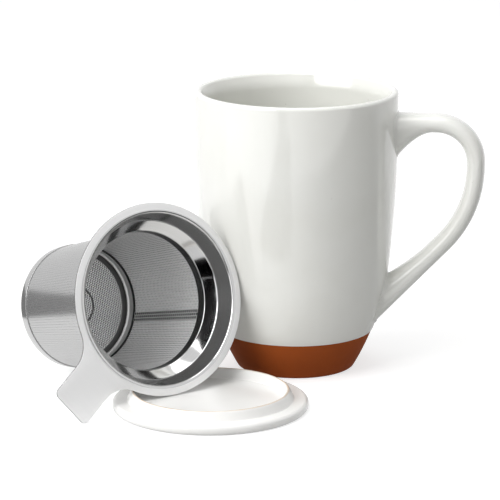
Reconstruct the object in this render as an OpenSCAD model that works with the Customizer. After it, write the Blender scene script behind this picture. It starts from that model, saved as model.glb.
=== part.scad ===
// Tea mug with a loose lid and a lift-out steel infuser.
// Millimetres, +Z up. The origin is the centre of the mug's foot, on the surface
// that the set stands on, and the handle reaches out towards +X.
// The lid lies upside down beside the mug. The infuser lies on its side: its rim
// rests in the upturned lid, and its tab and its basket rest on the surface.

/* [Mug] */
// Outer diameter of the mug at its widest
mug_d = 84; // [78:0.5:92]
// Height from the foot to the crest of the lip
mug_h = 117; // [108:0.5:132]
// Thickness of the wall
mug_wall = 4.7; // [4:0.1:5.5]
// Rounding of the lip
lip_round = 1.5; // [1.2:0.1:2]
// Slope of the mouth's flare, from the lip down to the straight wall
mouth_slope = 62; // [50:1:68]
// Length of straight wall below the crest of the lip
straight_h = 17; // [10:0.5:24]
// Height at which the gentle draw of the wall turns into the round base
turn_h = 42; // [36:0.5:48]
// Radius of the gentle draw, seen from the side
draw_r = 500; // [400:5:800]
// Diameter of the base before its edge is rounded
foot_d = 49; // [45:0.5:54]
// Rounding of the foot's outer edge
foot_round = 2; // [1:0.1:3]
// Width of the ring that the mug stands on
foot_ring_w = 5; // [3:0.5:8]
// Depth of the recess inside the foot ring
foot_recess = 1.2; // [0.6:0.1:1.8]
// Height of the cavity's floor
floor_h = 8; // [7:0.5:10]
// Rounding between the cavity's floor and its wall
floor_round = 14; // [8:0.5:18]

/* [Glaze and bare clay] */
// Height of the glaze's edge
glaze_h = 16; // [12:0.5:20]
// How far the glaze stands proud of the bare clay
glaze_step = 0.3; // [0.2:0.05:0.6]
// Thickness of the bare clay outside the glazed cup
clay_skin = 2.6; // [2:0.1:3.4]
// Height of the glazed cup's underside, inside the bare foot
cup_h = 3.6; // [3:0.1:4.5]

/* [Handle] */
// How far the handle stands out from the mug's widest wall
handle_reach = 36; // [32:0.2:40]
// Depth of the handle's top edge below the crest of the lip
handle_drop = 9; // [6:0.5:14]
// Thickness of the strap, seen from the side
strap_t = 7.6; // [6:0.1:9]
// Width of the strap, across the fingers
strap_w = 13; // [10:0.5:16]
// Outer radius of the upper bend
upper_bend_r = 20; // [14:0.5:24]
// Length of the upright grip between the two bends
grip_h = 2; // [1:0.5:10]
// Outer radius of the long lower bend
long_bend_r = 50; // [44:1:60]
// Slope of the lower run, below the horizontal
run_slope = 46; // [40:1:50]
// How far the upper root spreads down the wall
upper_spread = 10.2; // [6:0.2:12]
// Length over which the upper root draws in to the strap
upper_root_len = 14; // [10:0.5:16]
// How far the lower root spreads up the wall
lower_spread = 6; // [2:0.2:8]
// Length over which the lower root draws in to the strap
lower_root_len = 30; // [14:1:30]
// How far each root widens to either side
root_widen = 1.8; // [0:0.1:3]
// Turn of the handle about the mug, seen from above
handle_turn = -6; // [-30:1:30]

/* [Infuser rim and tab] */
// How far the rim laps the mouth of the mug on each side
rim_lap = 1.4; // [1:0.1:2]
// Thickness of the rim plate and its tab
rim_sheet = 0.8; // [0.6:0.1:1.2]
// Length of the tab beyond the rim
tab_len = 21.6; // [18:0.2:26]
// Width of the tab
tab_w = 18.4; // [14:0.2:22]
// Rounding of the tab's corners
tab_round = 2.5; // [1:0.1:5]
// Radius of the fillets where the tab leaves the rim
tab_fillet = 12; // [6:0.5:14]

/* [Infuser collar] */
// Running gap between the collar and the mouth of the mug
collar_gap = 2; // [1.2:0.1:2.4]
// Thickness of the collar's sheet
collar_sheet = 0.6; // [0.4:0.1:0.8]
// Width of the collar's lip on the rim plate
collar_lip = 1.1; // [1:0.1:1.6]
// Depth below the top of the rim at which the collar's cone turns into its funnel
step_depth = 7.2; // [6:0.1:8]
// How far the cone draws in from the collar's mouth down to that turn
cone_in = 2.5; // [1.5:0.1:3.5]
// Depth at which the funnel reaches the basket
funnel_depth = 10.8; // [10:0.1:12]
// Length of the plain neck below the funnel
neck_h = 4.2; // [3:0.1:8]

/* [Infuser basket] */
// Inner diameter of the neck
basket_mouth_d = 56; // [52:0.2:58]
// Outer diameter of the basket at its foot
basket_foot_d = 51.4; // [48:0.2:53]
// Depth of the basket below the top of the rim
basket_depth = 68; // [60:0.5:76]
// Thickness of the perforated sheet
basket_sheet = 0.5; // [0.4:0.05:0.7]
// How far the perforated sheet laps the neck
basket_lap = 3.2; // [2:0.1:3.6]
// Width of the seam strip inside the basket
seam_w = 4; // [3:0.2:6]
// Thickness of the seam strip
seam_t = 0.4; // [0.3:0.05:0.6]
// Place of the seam, turned from the tab about the basket
seam_turn = 123; // [60:1:180]
// Height of the ring that holds the bottom screen
ring_h = 5.6; // [3:0.1:7]
// Width of that ring's base
ring_w = 2.6; // [2:0.1:4]
// Clearance round the bottom screen
screen_gap = 0.1; // [0.05:0.05:0.3]
// Diameter of the pressed circle in the bottom screen
pressed_d = 16.4; // [12:0.2:24]
// Height of the pressed circle
pressed_h = 0.3; // [0.2:0.05:0.5]

/* [Lid] */
// How far the lid reaches past the infuser's rim on each side
lid_lap = 0.5; // [0.1:0.1:1.5]
// Thickness of the lid's plate
lid_t = 4; // [3.2:0.1:5.5]
// Rounding of the plate's edge
lid_round = 1.8; // [1:0.1:2.4]
// Height of the locating ring above the plate
lid_ring_h = 3.8; // [3:0.1:4.2]
// Width of the locating ring at its foot
lid_ring_w = 4.9; // [4:0.1:6]
// Clearance between the locating ring and the mouth of the collar
lid_ring_gap = 1.2; // [1:0.1:2]

/* [Layout on the table] */
// Gap between the infuser's rim and the mug's wall
mug_gap = 1.7; // [0.6:0.1:6]
// Bearing from the mug's axis to the place where the rim comes nearest
rim_bearing = -125.6; // [-135:0.1:-120]
// Direction that the infuser's opening faces, seen from above
face_turn = -55.6; // [-60:0.1:-50]
// Distance of the lid's axis from the plane of the rim
lid_before_rim = 11.2; // [8:0.1:14]
// Gap between the infuser's rim and the lid's locating ring where it crosses
ring_clear = 0.8; // [0.5:0.1:2]
// Gap between the infuser's rim and the lid that carries it
rest_gap = 0.3; // [0.1:0.05:0.5]

/* [Hidden] */
$fn = 96;

glaze_white = [0.93, 0.93, 0.90];
terracotta = [0.62, 0.31, 0.17];
satin_steel = [0.80, 0.81, 0.82];
bright_steel = [0.70, 0.71, 0.73];
mesh_steel = [0.58, 0.59, 0.60];

// Small overlap that keeps a cut from ending on a face
cut = 1;
// Steps along the curves of a turned outline
draw_steps = 8;
base_steps = 10;
round_steps = 8;
lip_steps = 14;
bend_steps = 6;
bump_steps = 14;
// How full the lid's soft ring is: 1 is a plain cosine bump, less is fuller
bump_power = 0.7;

// The mug's outer wall: straight, then a gentle arc, then the arc of the base.
// Both arcs meet at the turn with one slope.
mug_r = mug_d / 2;
mouth_r = mug_r - mug_wall;
// Where the rounding of the lip turns into the mouth's flare
flare_top = [mug_r - lip_round, mug_h - lip_round] + lip_round * [-sin(mouth_slope), cos(mouth_slope)];
// Height at which the flare reaches the straight wall of the cavity
mouth_z = flare_top[1] - (flare_top[0] - mouth_r) * tan(mouth_slope);
straight_from = mug_h - straight_h;
draw_fall = straight_from - turn_h;
draw_x = mug_r - draw_r;
turn_slope = asin(draw_fall / draw_r);
turn_r = draw_x + draw_r * cos(turn_slope);
base_in = turn_r - foot_d / 2;
base_r = (base_in ^ 2 + turn_h ^ 2) / (2 * (base_in * cos(turn_slope) - turn_h * sin(turn_slope)));
base_x = turn_r - base_r * cos(turn_slope);
base_z = turn_h + base_r * sin(turn_slope);
// Height of the small chamfer at the glaze's edge
glaze_chamfer = 2 * glaze_step;

// Radius of the surface that lies depth inside the outer wall, at height z
function wall_r(z, depth = 0) =
    z >= straight_from ? mug_r - depth
    : z >= straight_from - (draw_r - depth) * sin(turn_slope)
        ? draw_x + sqrt((draw_r - depth) ^ 2 - (straight_from - z) ^ 2)
        : base_x + sqrt((base_r - depth) ^ 2 - (base_z - z) ^ 2);

function reversed(list) = [for (i = [len(list) - 1:-1:0]) list[i]];

// Points of an arc about a centre [x, z], from angle a0 to angle a1
function arc(centre, r, a0, a1, steps) =
    [for (i = [0:steps]) let (a = a0 + (a1 - a0) * i / steps) centre + r * [cos(a), sin(a)]];

// The gentle draw, from top to bottom, at a depth inside the outer wall
function draw_arc(depth) = arc([draw_x, straight_from], draw_r - depth, 0, -turn_slope, draw_steps);

// Angle on the base's arc at height z
function base_angle(z, depth) = -asin((base_z - z) / (base_r - depth));

// The base's arc between two angles, at a depth inside the outer wall
function base_arc(depth, a0, a1) = arc([base_x, base_z], base_r - depth, a0, a1, base_steps);

// A rounding of radius r between the plane z = low and the base's arc
function round_angle(depth, low, r) = -asin((base_z - low - r) / (base_r - depth - r));
function round_centre(depth, low, r) =
    [base_x + (base_r - depth - r) * cos(round_angle(depth, low, r)), low + r];
function round_arc(depth, low, r) =
    arc(round_centre(depth, low, r), r, -90, round_angle(depth, low, r), round_steps);

// Outer wall from the lip down to the glaze's edge
outer_wall = concat(draw_arc(0), base_arc(0, -turn_slope, base_angle(glaze_h + glaze_chamfer, 0)));
// Outside of the bare clay, from the glaze's edge down to the foot ring
foot_wall = concat([[wall_r(glaze_h, glaze_step), glaze_h]],
    base_arc(glaze_step, base_angle(glaze_h, glaze_step), round_angle(glaze_step, 0, foot_round)),
    reversed(round_arc(glaze_step, 0, foot_round)));
// Face between the glazed cup and the bare clay, from the top down
cup_face = base_arc(clay_skin, base_angle(glaze_h, clay_skin), base_angle(cup_h, clay_skin));
// Wall of the cavity, from its floor up
cavity_wall = concat(round_arc(mug_wall, floor_h, floor_round),
    reversed(base_arc(mug_wall, -turn_slope, round_angle(mug_wall, floor_h, floor_round))),
    reversed(draw_arc(mug_wall)));

// The handle's line runs out from the wall, round the upper bend, down the grip,
// round the long bend and back down a straight run to the wall.
half_strap = strap_t / 2;
line_z = mug_h - handle_drop - half_strap;
line_x = mug_r + handle_reach - half_strap;
upper_r = upper_bend_r - half_strap;
long_r = long_bend_r - half_strap;
upper_centre = [line_x - upper_r, line_z - upper_r];
long_centre = [line_x - long_r, upper_centre[1] - grip_h];
bend = 90 - run_slope;
run_start = long_centre + long_r * [cos(bend), -sin(bend)];
run_way = [-cos(run_slope), -sin(run_slope)];
// How deep the handle's line goes on inside the wall before it is cut off
root_depth = mug_wall / 2;
// How the spread of a root falls off along the strap
spread_power = 1.7;
// How square the strap's section is: 1 is an ellipse, less is squarer
section_power = 0.85;
section_sides = 20;
top_rings = 15;
bend_rings = 9;
long_rings = 9;
run_rings = 20;

// Tries that find where the lower run reaches the wall
run_tries = 8;
// Length along the lower run at which it reaches the wall, found step by step
function run_length(length = 0, tries = run_tries) =
    tries == 0 ? length
    : run_length((run_start[0] - wall_r(run_start[1] + run_way[1] * length)) / cos(run_slope), tries - 1);
run_len = run_length();
run_end = run_len + 3 * root_depth;
wall_at_top = wall_r(line_z);

// How far a root still spreads at a distance from the wall
function spread(distance, most, length) =
    distance >= length ? 0 : most * (1 - max(distance, 0) / length) ^ spread_power;

// Stations along the handle: x, z, turn of the line, spread of the inner side, widening
top_stations = [for (i = [0:top_rings])
    let (x = wall_at_top - root_depth + (upper_centre[0] - wall_at_top + root_depth) * i / top_rings,
        far = x - wall_at_top)
    [x, line_z, 0, spread(far, upper_spread, upper_root_len), spread(far, root_widen, upper_root_len)]];
bend_stations = [for (i = [1:bend_rings])
    let (a = 90 * i / bend_rings)
    [upper_centre[0] + upper_r * sin(a), upper_centre[1] + upper_r * cos(a), a, 0, 0]];
long_stations = [for (i = [0:long_rings])
    let (a = bend * i / long_rings)
    [long_centre[0] + long_r * cos(a), long_centre[1] - long_r * sin(a), 90 + a, 0, 0]];
run_stations = [for (i = [1:run_rings])
    let (at = run_start + run_way * run_end * i / run_rings, far = run_len - run_end * i / run_rings)
    [at[0], at[1], 90 + bend, spread(far, lower_spread, lower_root_len), spread(far, root_widen, lower_root_len)]];
stations = concat(top_stations, bend_stations, long_stations, run_stations);

function signed_power(value, power) = sign(value) * abs(value) ^ power;

// One ring of points round the strap at a station
function section(s) = [for (k = [0:section_sides - 1])
    let (a = 360 * k / section_sides,
        across = (strap_w / 2 + s[4]) * signed_power(cos(a), section_power),
        out = (sin(a) > 0 ? half_strap : half_strap + s[3]) * signed_power(sin(a), section_power))
    [s[0] + out * sin(s[2]), across, s[1] + out * cos(s[2])]];

// The infuser in its own frame: the top of the rim plate is z = 0, the tab reaches
// towards +X and the basket hangs down.
rim_r = mouth_r + rim_lap;
collar_r = mouth_r - collar_gap;
collar_mouth_r = collar_r - collar_sheet;
neck_r = basket_mouth_d / 2;
foot_in_r = basket_foot_d / 2 - basket_sheet;
taper = atan((neck_r + collar_sheet - foot_in_r) / (basket_depth - funnel_depth));
tab_reach = rim_r + tab_len;
fillet_x = sqrt((rim_r + tab_fillet) ^ 2 - (tab_w / 2 + tab_fillet) ^ 2);
fillet_y = tab_w / 2 + tab_fillet;
// How deep the fillets bite into the rim's edge, so that the two cross cleanly
root_bite = 0.02;
neck_end = -funnel_depth - neck_h;
seam_from = neck_end - screen_gap;
seam_to = -basket_depth + ring_h + screen_gap;
screen_z = -basket_depth + basket_sheet;
// Radii of the collar's bends on its visible side: lip, step and funnel foot
collar_bends = [0.6, 1.4, 0.7];

// Inner radius of the perforated sheet at height z, and the same for a thinner ring inside it
function sheet_r(z, inside = 0) = foot_in_r + (z + basket_depth) * tan(taper) - inside / cos(taper);

function unit(v) = v / norm(v);
function left(v) = [-v[1], v[0]];

// A rounded corner of a bent sheet, shifted sideways to the left of its run
function corner(a, b, c, r, shift) =
    let (u = unit(b - a), v = unit(c - b), turn = cross(u, v) > 0 ? 1 : -1, angle = acos(u * v),
        centre = b + unit(v - u) * r / cos(angle / 2), from = -turn * left(u), a0 = atan2(from[1], from[0]))
    arc(centre, r - turn * shift, a0, a0 + turn * angle, bend_steps);

// The line of a bent sheet with rounded corners, shifted sideways
function bent_line(points, radii, shift) =
    let (last = len(points) - 1)
    concat([points[0] + shift * left(unit(points[1] - points[0]))],
        [for (i = [1:last - 1]) each corner(points[i - 1], points[i], points[i + 1], radii[i - 1], shift)],
        [points[last] + shift * left(unit(points[last] - points[last - 1]))]);

collar_line = [[collar_mouth_r + collar_lip, collar_sheet], [collar_mouth_r, collar_sheet],
    [collar_mouth_r - cone_in, -step_depth], [neck_r, -funnel_depth],
    [neck_r - neck_h * tan(taper), neck_end]];

// The lid lies upside down, with its top on the table
lid_r = rim_r + lid_lap;
lid_ring_r = collar_mouth_r - lid_ring_gap - lid_ring_w / 2;

// The infuser's lean follows from what it rests on: the rim in the lid, the foot
// of the basket and one corner of the tab on the table.
rest_z = lid_t + rest_gap;
lean_arm = norm([basket_depth - rim_sheet, rim_r - basket_foot_d / 2]);
lean = atan2(rim_r - basket_foot_d / 2, basket_depth - rim_sheet) + asin(rest_z / lean_arm);
rim_z = rest_z + rim_r * cos(lean) + rim_sheet * sin(lean);
tab_arm = norm([tab_reach - tab_round, tab_w / 2 - tab_round]);
tab_fall = (rim_z - rim_sheet * sin(lean)) / cos(lean) - tab_round;
tab_roll = -atan2(tab_w / 2 - tab_round, tab_reach - tab_round) - acos(tab_fall / tab_arm);
// The opening faces out along facing, and the rim's level line runs along level
facing = [cos(face_turn), sin(face_turn)];
level = left(facing);
rim_near = (wall_r(rim_z) + mug_gap) * [cos(rim_bearing), sin(rim_bearing)];
rim_at = rim_near - rim_r * level;
rim_low = rim_at + (rim_r * sin(lean) - rim_sheet * cos(lean)) * facing;
// Half the chord that the rim's plane cuts across the lid's ring, and how far from its
// lowest point the rim has risen clear of that ring
ring_chord = sqrt(lid_ring_r ^ 2 - lid_before_rim ^ 2);
rise = (lid_ring_h - rest_gap + ring_clear) / cos(lean);
rise_at = sqrt(2 * rim_r * rise - rise ^ 2);
lid_at = rim_low + lid_before_rim * facing + (ring_chord - rise_at) * level;

module infuser_place() {
    translate([rim_at[0], rim_at[1], rim_z])
        rotate([0, 90 - lean, face_turn])
            rotate([0, 0, tab_roll])
                children();
}

// Glazed cup: lip, wall and floor
module mug_shell() {
    color(glaze_white)
        rotate_extrude()
            polygon(concat(
                arc([mug_r - lip_round, mug_h - lip_round], lip_round, 90 + mouth_slope, 0, lip_steps),
                outer_wall,
                [[wall_r(glaze_h, glaze_step), glaze_h]],
                cup_face,
                [[0, cup_h], [0, floor_h]],
                cavity_wall,
                [[mouth_r, mouth_z]]));
}

// Bare clay foot, which holds the glazed cup
module clay_foot() {
    ring_in = round_centre(glaze_step, 0, foot_round)[0] - foot_ring_w;
    color(terracotta)
        rotate_extrude()
            polygon(concat(
                foot_wall,
                [[ring_in, 0], [ring_in - foot_recess, foot_recess], [0, foot_recess], [0, cup_h]],
                reversed(cup_face)));
}

// Strap handle with spread roots, cut to the mug's outer wall
module mug_handle() {
    rings = len(stations);
    points = [for (s = stations) each section(s)];
    sides = [for (i = [0:rings - 2], k = [0:section_sides - 1])
        let (k2 = (k + 1) % section_sides, a = i * section_sides, b = a + section_sides)
        [a + k, b + k, b + k2, a + k2]];
    caps = [[for (k = [0:section_sides - 1]) k],
        [for (k = [section_sides - 1:-1:0]) (rings - 1) * section_sides + k]];
    color(glaze_white)
        difference() {
            rotate([0, 0, handle_turn])
                polyhedron(points, concat(sides, caps), convexity = 6);
            rotate_extrude()
                polygon(concat([[0, mug_h], [mug_r, mug_h]], outer_wall, foot_wall, [[0, 0]]));
        }
}

// Plate of the lid, lying on its flat top
module lid_plate() {
    color(glaze_white)
        translate([lid_at[0], lid_at[1], 0])
            rotate_extrude()
                polygon(concat(
                    [[0, 0]],
                    arc([lid_r - lid_round, lid_round], lid_round, -90, 0, round_steps),
                    arc([lid_r - lid_round, lid_t - lid_round], lid_round, 0, 90, round_steps),
                    [[0, lid_t]]));
}

// Locating ring of the lid: a soft round bump that drops into the collar
module lid_ring() {
    color(glaze_white)
        translate([lid_at[0], lid_at[1], lid_t])
            rotate_extrude()
                polygon([for (i = [0:bump_steps])
                    let (across = 2 * i / bump_steps - 1, bump = (1 + cos(180 * across)) / 2)
                    [lid_ring_r + across * lid_ring_w / 2, lid_ring_h * bump ^ bump_power]]);
}

// Flat rim of the infuser with its tab, one stamping
module rim_plate() {
    tab_side = concat([[0, 0]],
        arc([fillet_x, fillet_y], tab_fillet + root_bite, atan2(fillet_y, fillet_x) - 180, -90, round_steps),
        arc([tab_reach - tab_round, tab_w / 2 - tab_round], tab_round, 90, 0, round_steps));
    color(satin_steel)
        infuser_place()
            translate([0, 0, -rim_sheet])
                difference() {
                    union() {
                        cylinder(h = rim_sheet, r = rim_r);
                        linear_extrude(rim_sheet)
                            polygon(concat(tab_side, [for (p = reversed(tab_side)) [p[0], -p[1]]]));
                    }
                    translate([0, 0, -cut])
                        cylinder(h = rim_sheet + 2 * cut, r = collar_r);
                }
}

// Deep-drawn collar: lip, cone, shallower funnel and neck in one bent sheet
module collar() {
    color(bright_steel)
        infuser_place()
            rotate_extrude()
                polygon(concat(bent_line(collar_line, collar_bends, 0),
                    reversed(bent_line(collar_line, collar_bends, collar_sheet))));
}

// Perforated sheet of the basket, rolled to a cone; the perforations aren't cut here
module basket_wall() {
    top = neck_end + basket_lap;
    color(mesh_steel)
        infuser_place()
            rotate_extrude()
                polygon([[sheet_r(-basket_depth), -basket_depth], [basket_foot_d / 2, -basket_depth],
                    [sheet_r(top, -basket_sheet), top], [sheet_r(top), top]]);
}

// Strip that covers the seam inside the basket
module basket_seam() {
    color(mesh_steel)
        infuser_place()
            rotate([0, 0, seam_turn])
                intersection() {
                    rotate_extrude()
                        polygon([[sheet_r(seam_to, seam_t), seam_to], [sheet_r(seam_to), seam_to],
                            [sheet_r(seam_from), seam_from], [sheet_r(seam_from, seam_t), seam_from]]);
                    translate([0, -seam_w / 2, seam_to - cut])
                        cube([rim_r, seam_w, seam_from - seam_to + 2 * cut]);
                }
}

// Ring with an upright leg that holds the bottom screen in the basket
module bottom_ring() {
    leg_top = -basket_depth + ring_h;
    base_in_r = sheet_r(-basket_depth) - ring_w;
    color(bright_steel)
        infuser_place()
            rotate_extrude()
                polygon([[base_in_r, -basket_depth], [sheet_r(-basket_depth), -basket_depth],
                    [sheet_r(leg_top), leg_top], [sheet_r(leg_top, basket_sheet), leg_top],
                    [sheet_r(screen_z, basket_sheet), screen_z], [base_in_r, screen_z]]);
}

// Bottom screen with a pressed circle; the perforations aren't cut here
module bottom_screen() {
    color(mesh_steel)
        infuser_place()
            translate([0, 0, screen_z])
                union() {
                    cylinder(h = basket_sheet, r = sheet_r(screen_z, basket_sheet) - screen_gap);
                    translate([0, 0, basket_sheet])
                        rotate_extrude()
                            polygon([[pressed_d / 2 - pressed_h, 0], [pressed_d / 2 + pressed_h, 0],
                                [pressed_d / 2, pressed_h]]);
                }
}

mug_shell();
clay_foot();
mug_handle();
lid_plate();
lid_ring();
rim_plate();
collar();
basket_wall();
basket_seam();
bottom_ring();
bottom_screen();
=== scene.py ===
"""The looks of a tea mug with a loose lid and a lift-out steel infuser.

Everything is in metres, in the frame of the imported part: +Z is up, the mug's foot
stands at the origin, and its handle reaches out towards +X. Each sub-assembly is a
class that holds its sizes, builds its meshes and dresses them in its finishes.
"""

import logging
import math
from dataclasses import dataclass
from enum import Enum
from typing import Callable, NamedTuple, Sequence, Union

import bmesh
import bpy
from mathutils import Matrix, Vector


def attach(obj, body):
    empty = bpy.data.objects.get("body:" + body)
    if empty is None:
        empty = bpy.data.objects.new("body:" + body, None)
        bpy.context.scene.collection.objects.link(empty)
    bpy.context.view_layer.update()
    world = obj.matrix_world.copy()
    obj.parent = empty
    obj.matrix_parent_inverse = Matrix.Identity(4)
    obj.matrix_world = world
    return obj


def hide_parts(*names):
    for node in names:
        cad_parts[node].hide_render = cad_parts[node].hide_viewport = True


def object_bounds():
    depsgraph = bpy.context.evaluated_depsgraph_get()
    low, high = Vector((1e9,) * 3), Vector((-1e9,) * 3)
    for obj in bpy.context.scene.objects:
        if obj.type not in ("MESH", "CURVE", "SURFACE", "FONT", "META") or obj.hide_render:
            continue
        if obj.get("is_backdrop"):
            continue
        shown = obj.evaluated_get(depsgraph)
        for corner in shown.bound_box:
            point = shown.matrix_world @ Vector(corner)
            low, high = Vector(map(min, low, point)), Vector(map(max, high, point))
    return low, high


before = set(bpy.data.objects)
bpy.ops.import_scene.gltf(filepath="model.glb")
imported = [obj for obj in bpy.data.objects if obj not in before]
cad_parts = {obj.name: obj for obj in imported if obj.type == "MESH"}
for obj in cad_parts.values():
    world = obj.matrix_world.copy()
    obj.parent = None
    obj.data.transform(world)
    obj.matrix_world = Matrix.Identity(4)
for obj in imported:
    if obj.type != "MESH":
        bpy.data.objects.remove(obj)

LOG = logging.getLogger("tea_mug")
MM = 0.001
WRAP_MAP = "Wrap"

Point = tuple[float, float]
Triple = tuple[float, float, float]
Colour = tuple[float, float, float]
Zone = Callable[[bpy.types.MeshPolygon], int]
Socket = bpy.types.NodeSocket
Material = bpy.types.Material
Piece = bpy.types.Object
Ring = list[bmesh.types.BMVert]
Feed = Union["Signal", Socket, float, str, tuple]


# ---------------------------------------------------------------- node trees


class Signal:
    """A varying number in a node tree, on which Python's operators add Math nodes."""

    def __init__(self, sheet: "Sheet", socket: Socket) -> None:
        """Remembers the tree and the socket that gives the number."""
        self.sheet = sheet
        self.socket = socket

    def __add__(self, other: Feed) -> "Signal":
        """Sum."""
        return self.sheet.maths("ADD", self, other)

    def __sub__(self, other: Feed) -> "Signal":
        """Difference."""
        return self.sheet.maths("SUBTRACT", self, other)

    def __rsub__(self, other: Feed) -> "Signal":
        """Difference, from a plain number."""
        return self.sheet.maths("SUBTRACT", other, self)

    def __mul__(self, other: Feed) -> "Signal":
        """Product."""
        return self.sheet.maths("MULTIPLY", self, other)

    def __truediv__(self, other: Feed) -> "Signal":
        """Quotient."""
        return self.sheet.maths("DIVIDE", self, other)

    def __rtruediv__(self, other: Feed) -> "Signal":
        """Quotient of a plain number."""
        return self.sheet.maths("DIVIDE", other, self)

    def __mod__(self, other: Feed) -> "Signal":
        """Remainder, never negative."""
        return self.sheet.maths("FLOORED_MODULO", self, other)

    def __pow__(self, other: Feed) -> "Signal":
        """Power."""
        return self.sheet.maths("POWER", self, other)

    def __abs__(self) -> "Signal":
        """Size without its sign."""
        return self.sheet.maths("ABSOLUTE", self)

    __radd__ = __add__
    __rmul__ = __mul__

    def apply(self, operation: str, *others: Feed) -> "Signal":
        """Any other operation of the Math node, by its name."""
        return self.sheet.maths(operation, self, *others)

    def ramp(self, low: float, high: float) -> "Signal":
        """Smooth step, which falls where low is above high.

        Args:
            low: The value that gives 0.
            high: The value that gives 1.

        Returns:
            The step.
        """
        inputs = {"Value": self, "From Min": low, "From Max": high}
        node = self.sheet.add("ShaderNodeMapRange", inputs, interpolation_type="SMOOTHSTEP")
        return Signal(self.sheet, node.outputs["Result"])


class Sheet:
    """A node tree that is being filled, for a finish or for a field of holes."""

    def __init__(self, tree: bpy.types.NodeTree) -> None:
        """Starts on an existing tree."""
        self.tree = tree

    def add(self, kind: str, inputs: dict | None = None, **settings: object) -> bpy.types.Node:
        """Adds a node.

        Args:
            kind: The node's type.
            inputs: Values or links, by the name or number of the socket.
            **settings: The node's own settings, which are set first.

        Returns:
            The node.
        """
        node = self.tree.nodes.new(kind)
        for name, value in settings.items():
            setattr(node, name, value)
        for key, source in (inputs or {}).items():
            self.feed(node.inputs[key], source)
        return node

    def feed(self, socket: Socket, source: Feed) -> None:
        """Feeds a socket.

        Args:
            socket: The socket.
            source: The signal or socket that it is linked to, or its plain value.
        """
        if isinstance(source, Signal):
            source = source.socket
        if isinstance(source, Socket):
            self.tree.links.new(source, socket)
        else:
            socket.default_value = source

    def maths(self, operation: str, *values: Feed) -> Signal:
        """Adds a Math node and returns its result."""
        node = self.add("ShaderNodeMath", dict(enumerate(values)), operation=operation)
        return Signal(self, node.outputs[0])

    def vectors(self, operation: str, *values: Feed) -> Socket:
        """Adds a Vector Math node and returns its result."""
        return self.add("ShaderNodeVectorMath", dict(enumerate(values)), operation=operation).outputs[0]

    def split(self, vector: Socket) -> tuple[Signal, Signal, Signal]:
        """The three parts of a vector."""
        node = self.add("ShaderNodeSeparateXYZ", {0: vector})
        return tuple(Signal(self, node.outputs[axis]) for axis in range(3))

    def join(self, x: Feed, y: Feed, z: Feed) -> Socket:
        """A vector from its three parts."""
        return self.add("ShaderNodeCombineXYZ", {0: x, 1: y, 2: z}).outputs[0]

    def seen(self) -> Signal:
        """Tells the rays of the camera and of reflections from plain light.

        Returns:
            1 for what is seen, directly, in glass or in gloss, and 0 for plain light.
        """
        path = self.add("ShaderNodeLightPath").outputs
        clear = Signal(self, path["Is Camera Ray"]).apply("MAXIMUM", path["Is Transmission Ray"])
        return clear.apply("MAXIMUM", path["Is Glossy Ray"])


def rgba(colour: Feed) -> Feed:
    """A colour with its alpha, or a socket as it is."""
    return (*colour, 1.0) if isinstance(colour, tuple) else colour


class Noise(NamedTuple):
    """Fractal noise: its repeats in a metre, its detail and its roughness."""

    scale: float
    detail: float = 2.0
    roughness: float = 0.5


class Flecks(NamedTuple):
    """Scattered round spots, in metres.

    One spot may lie in each cell, and only a share of the cells have one. The largest
    spot has the given radius, and the strength says how well the spots show.
    """

    spacing: float
    radius: float
    share: float
    strength: float


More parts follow.
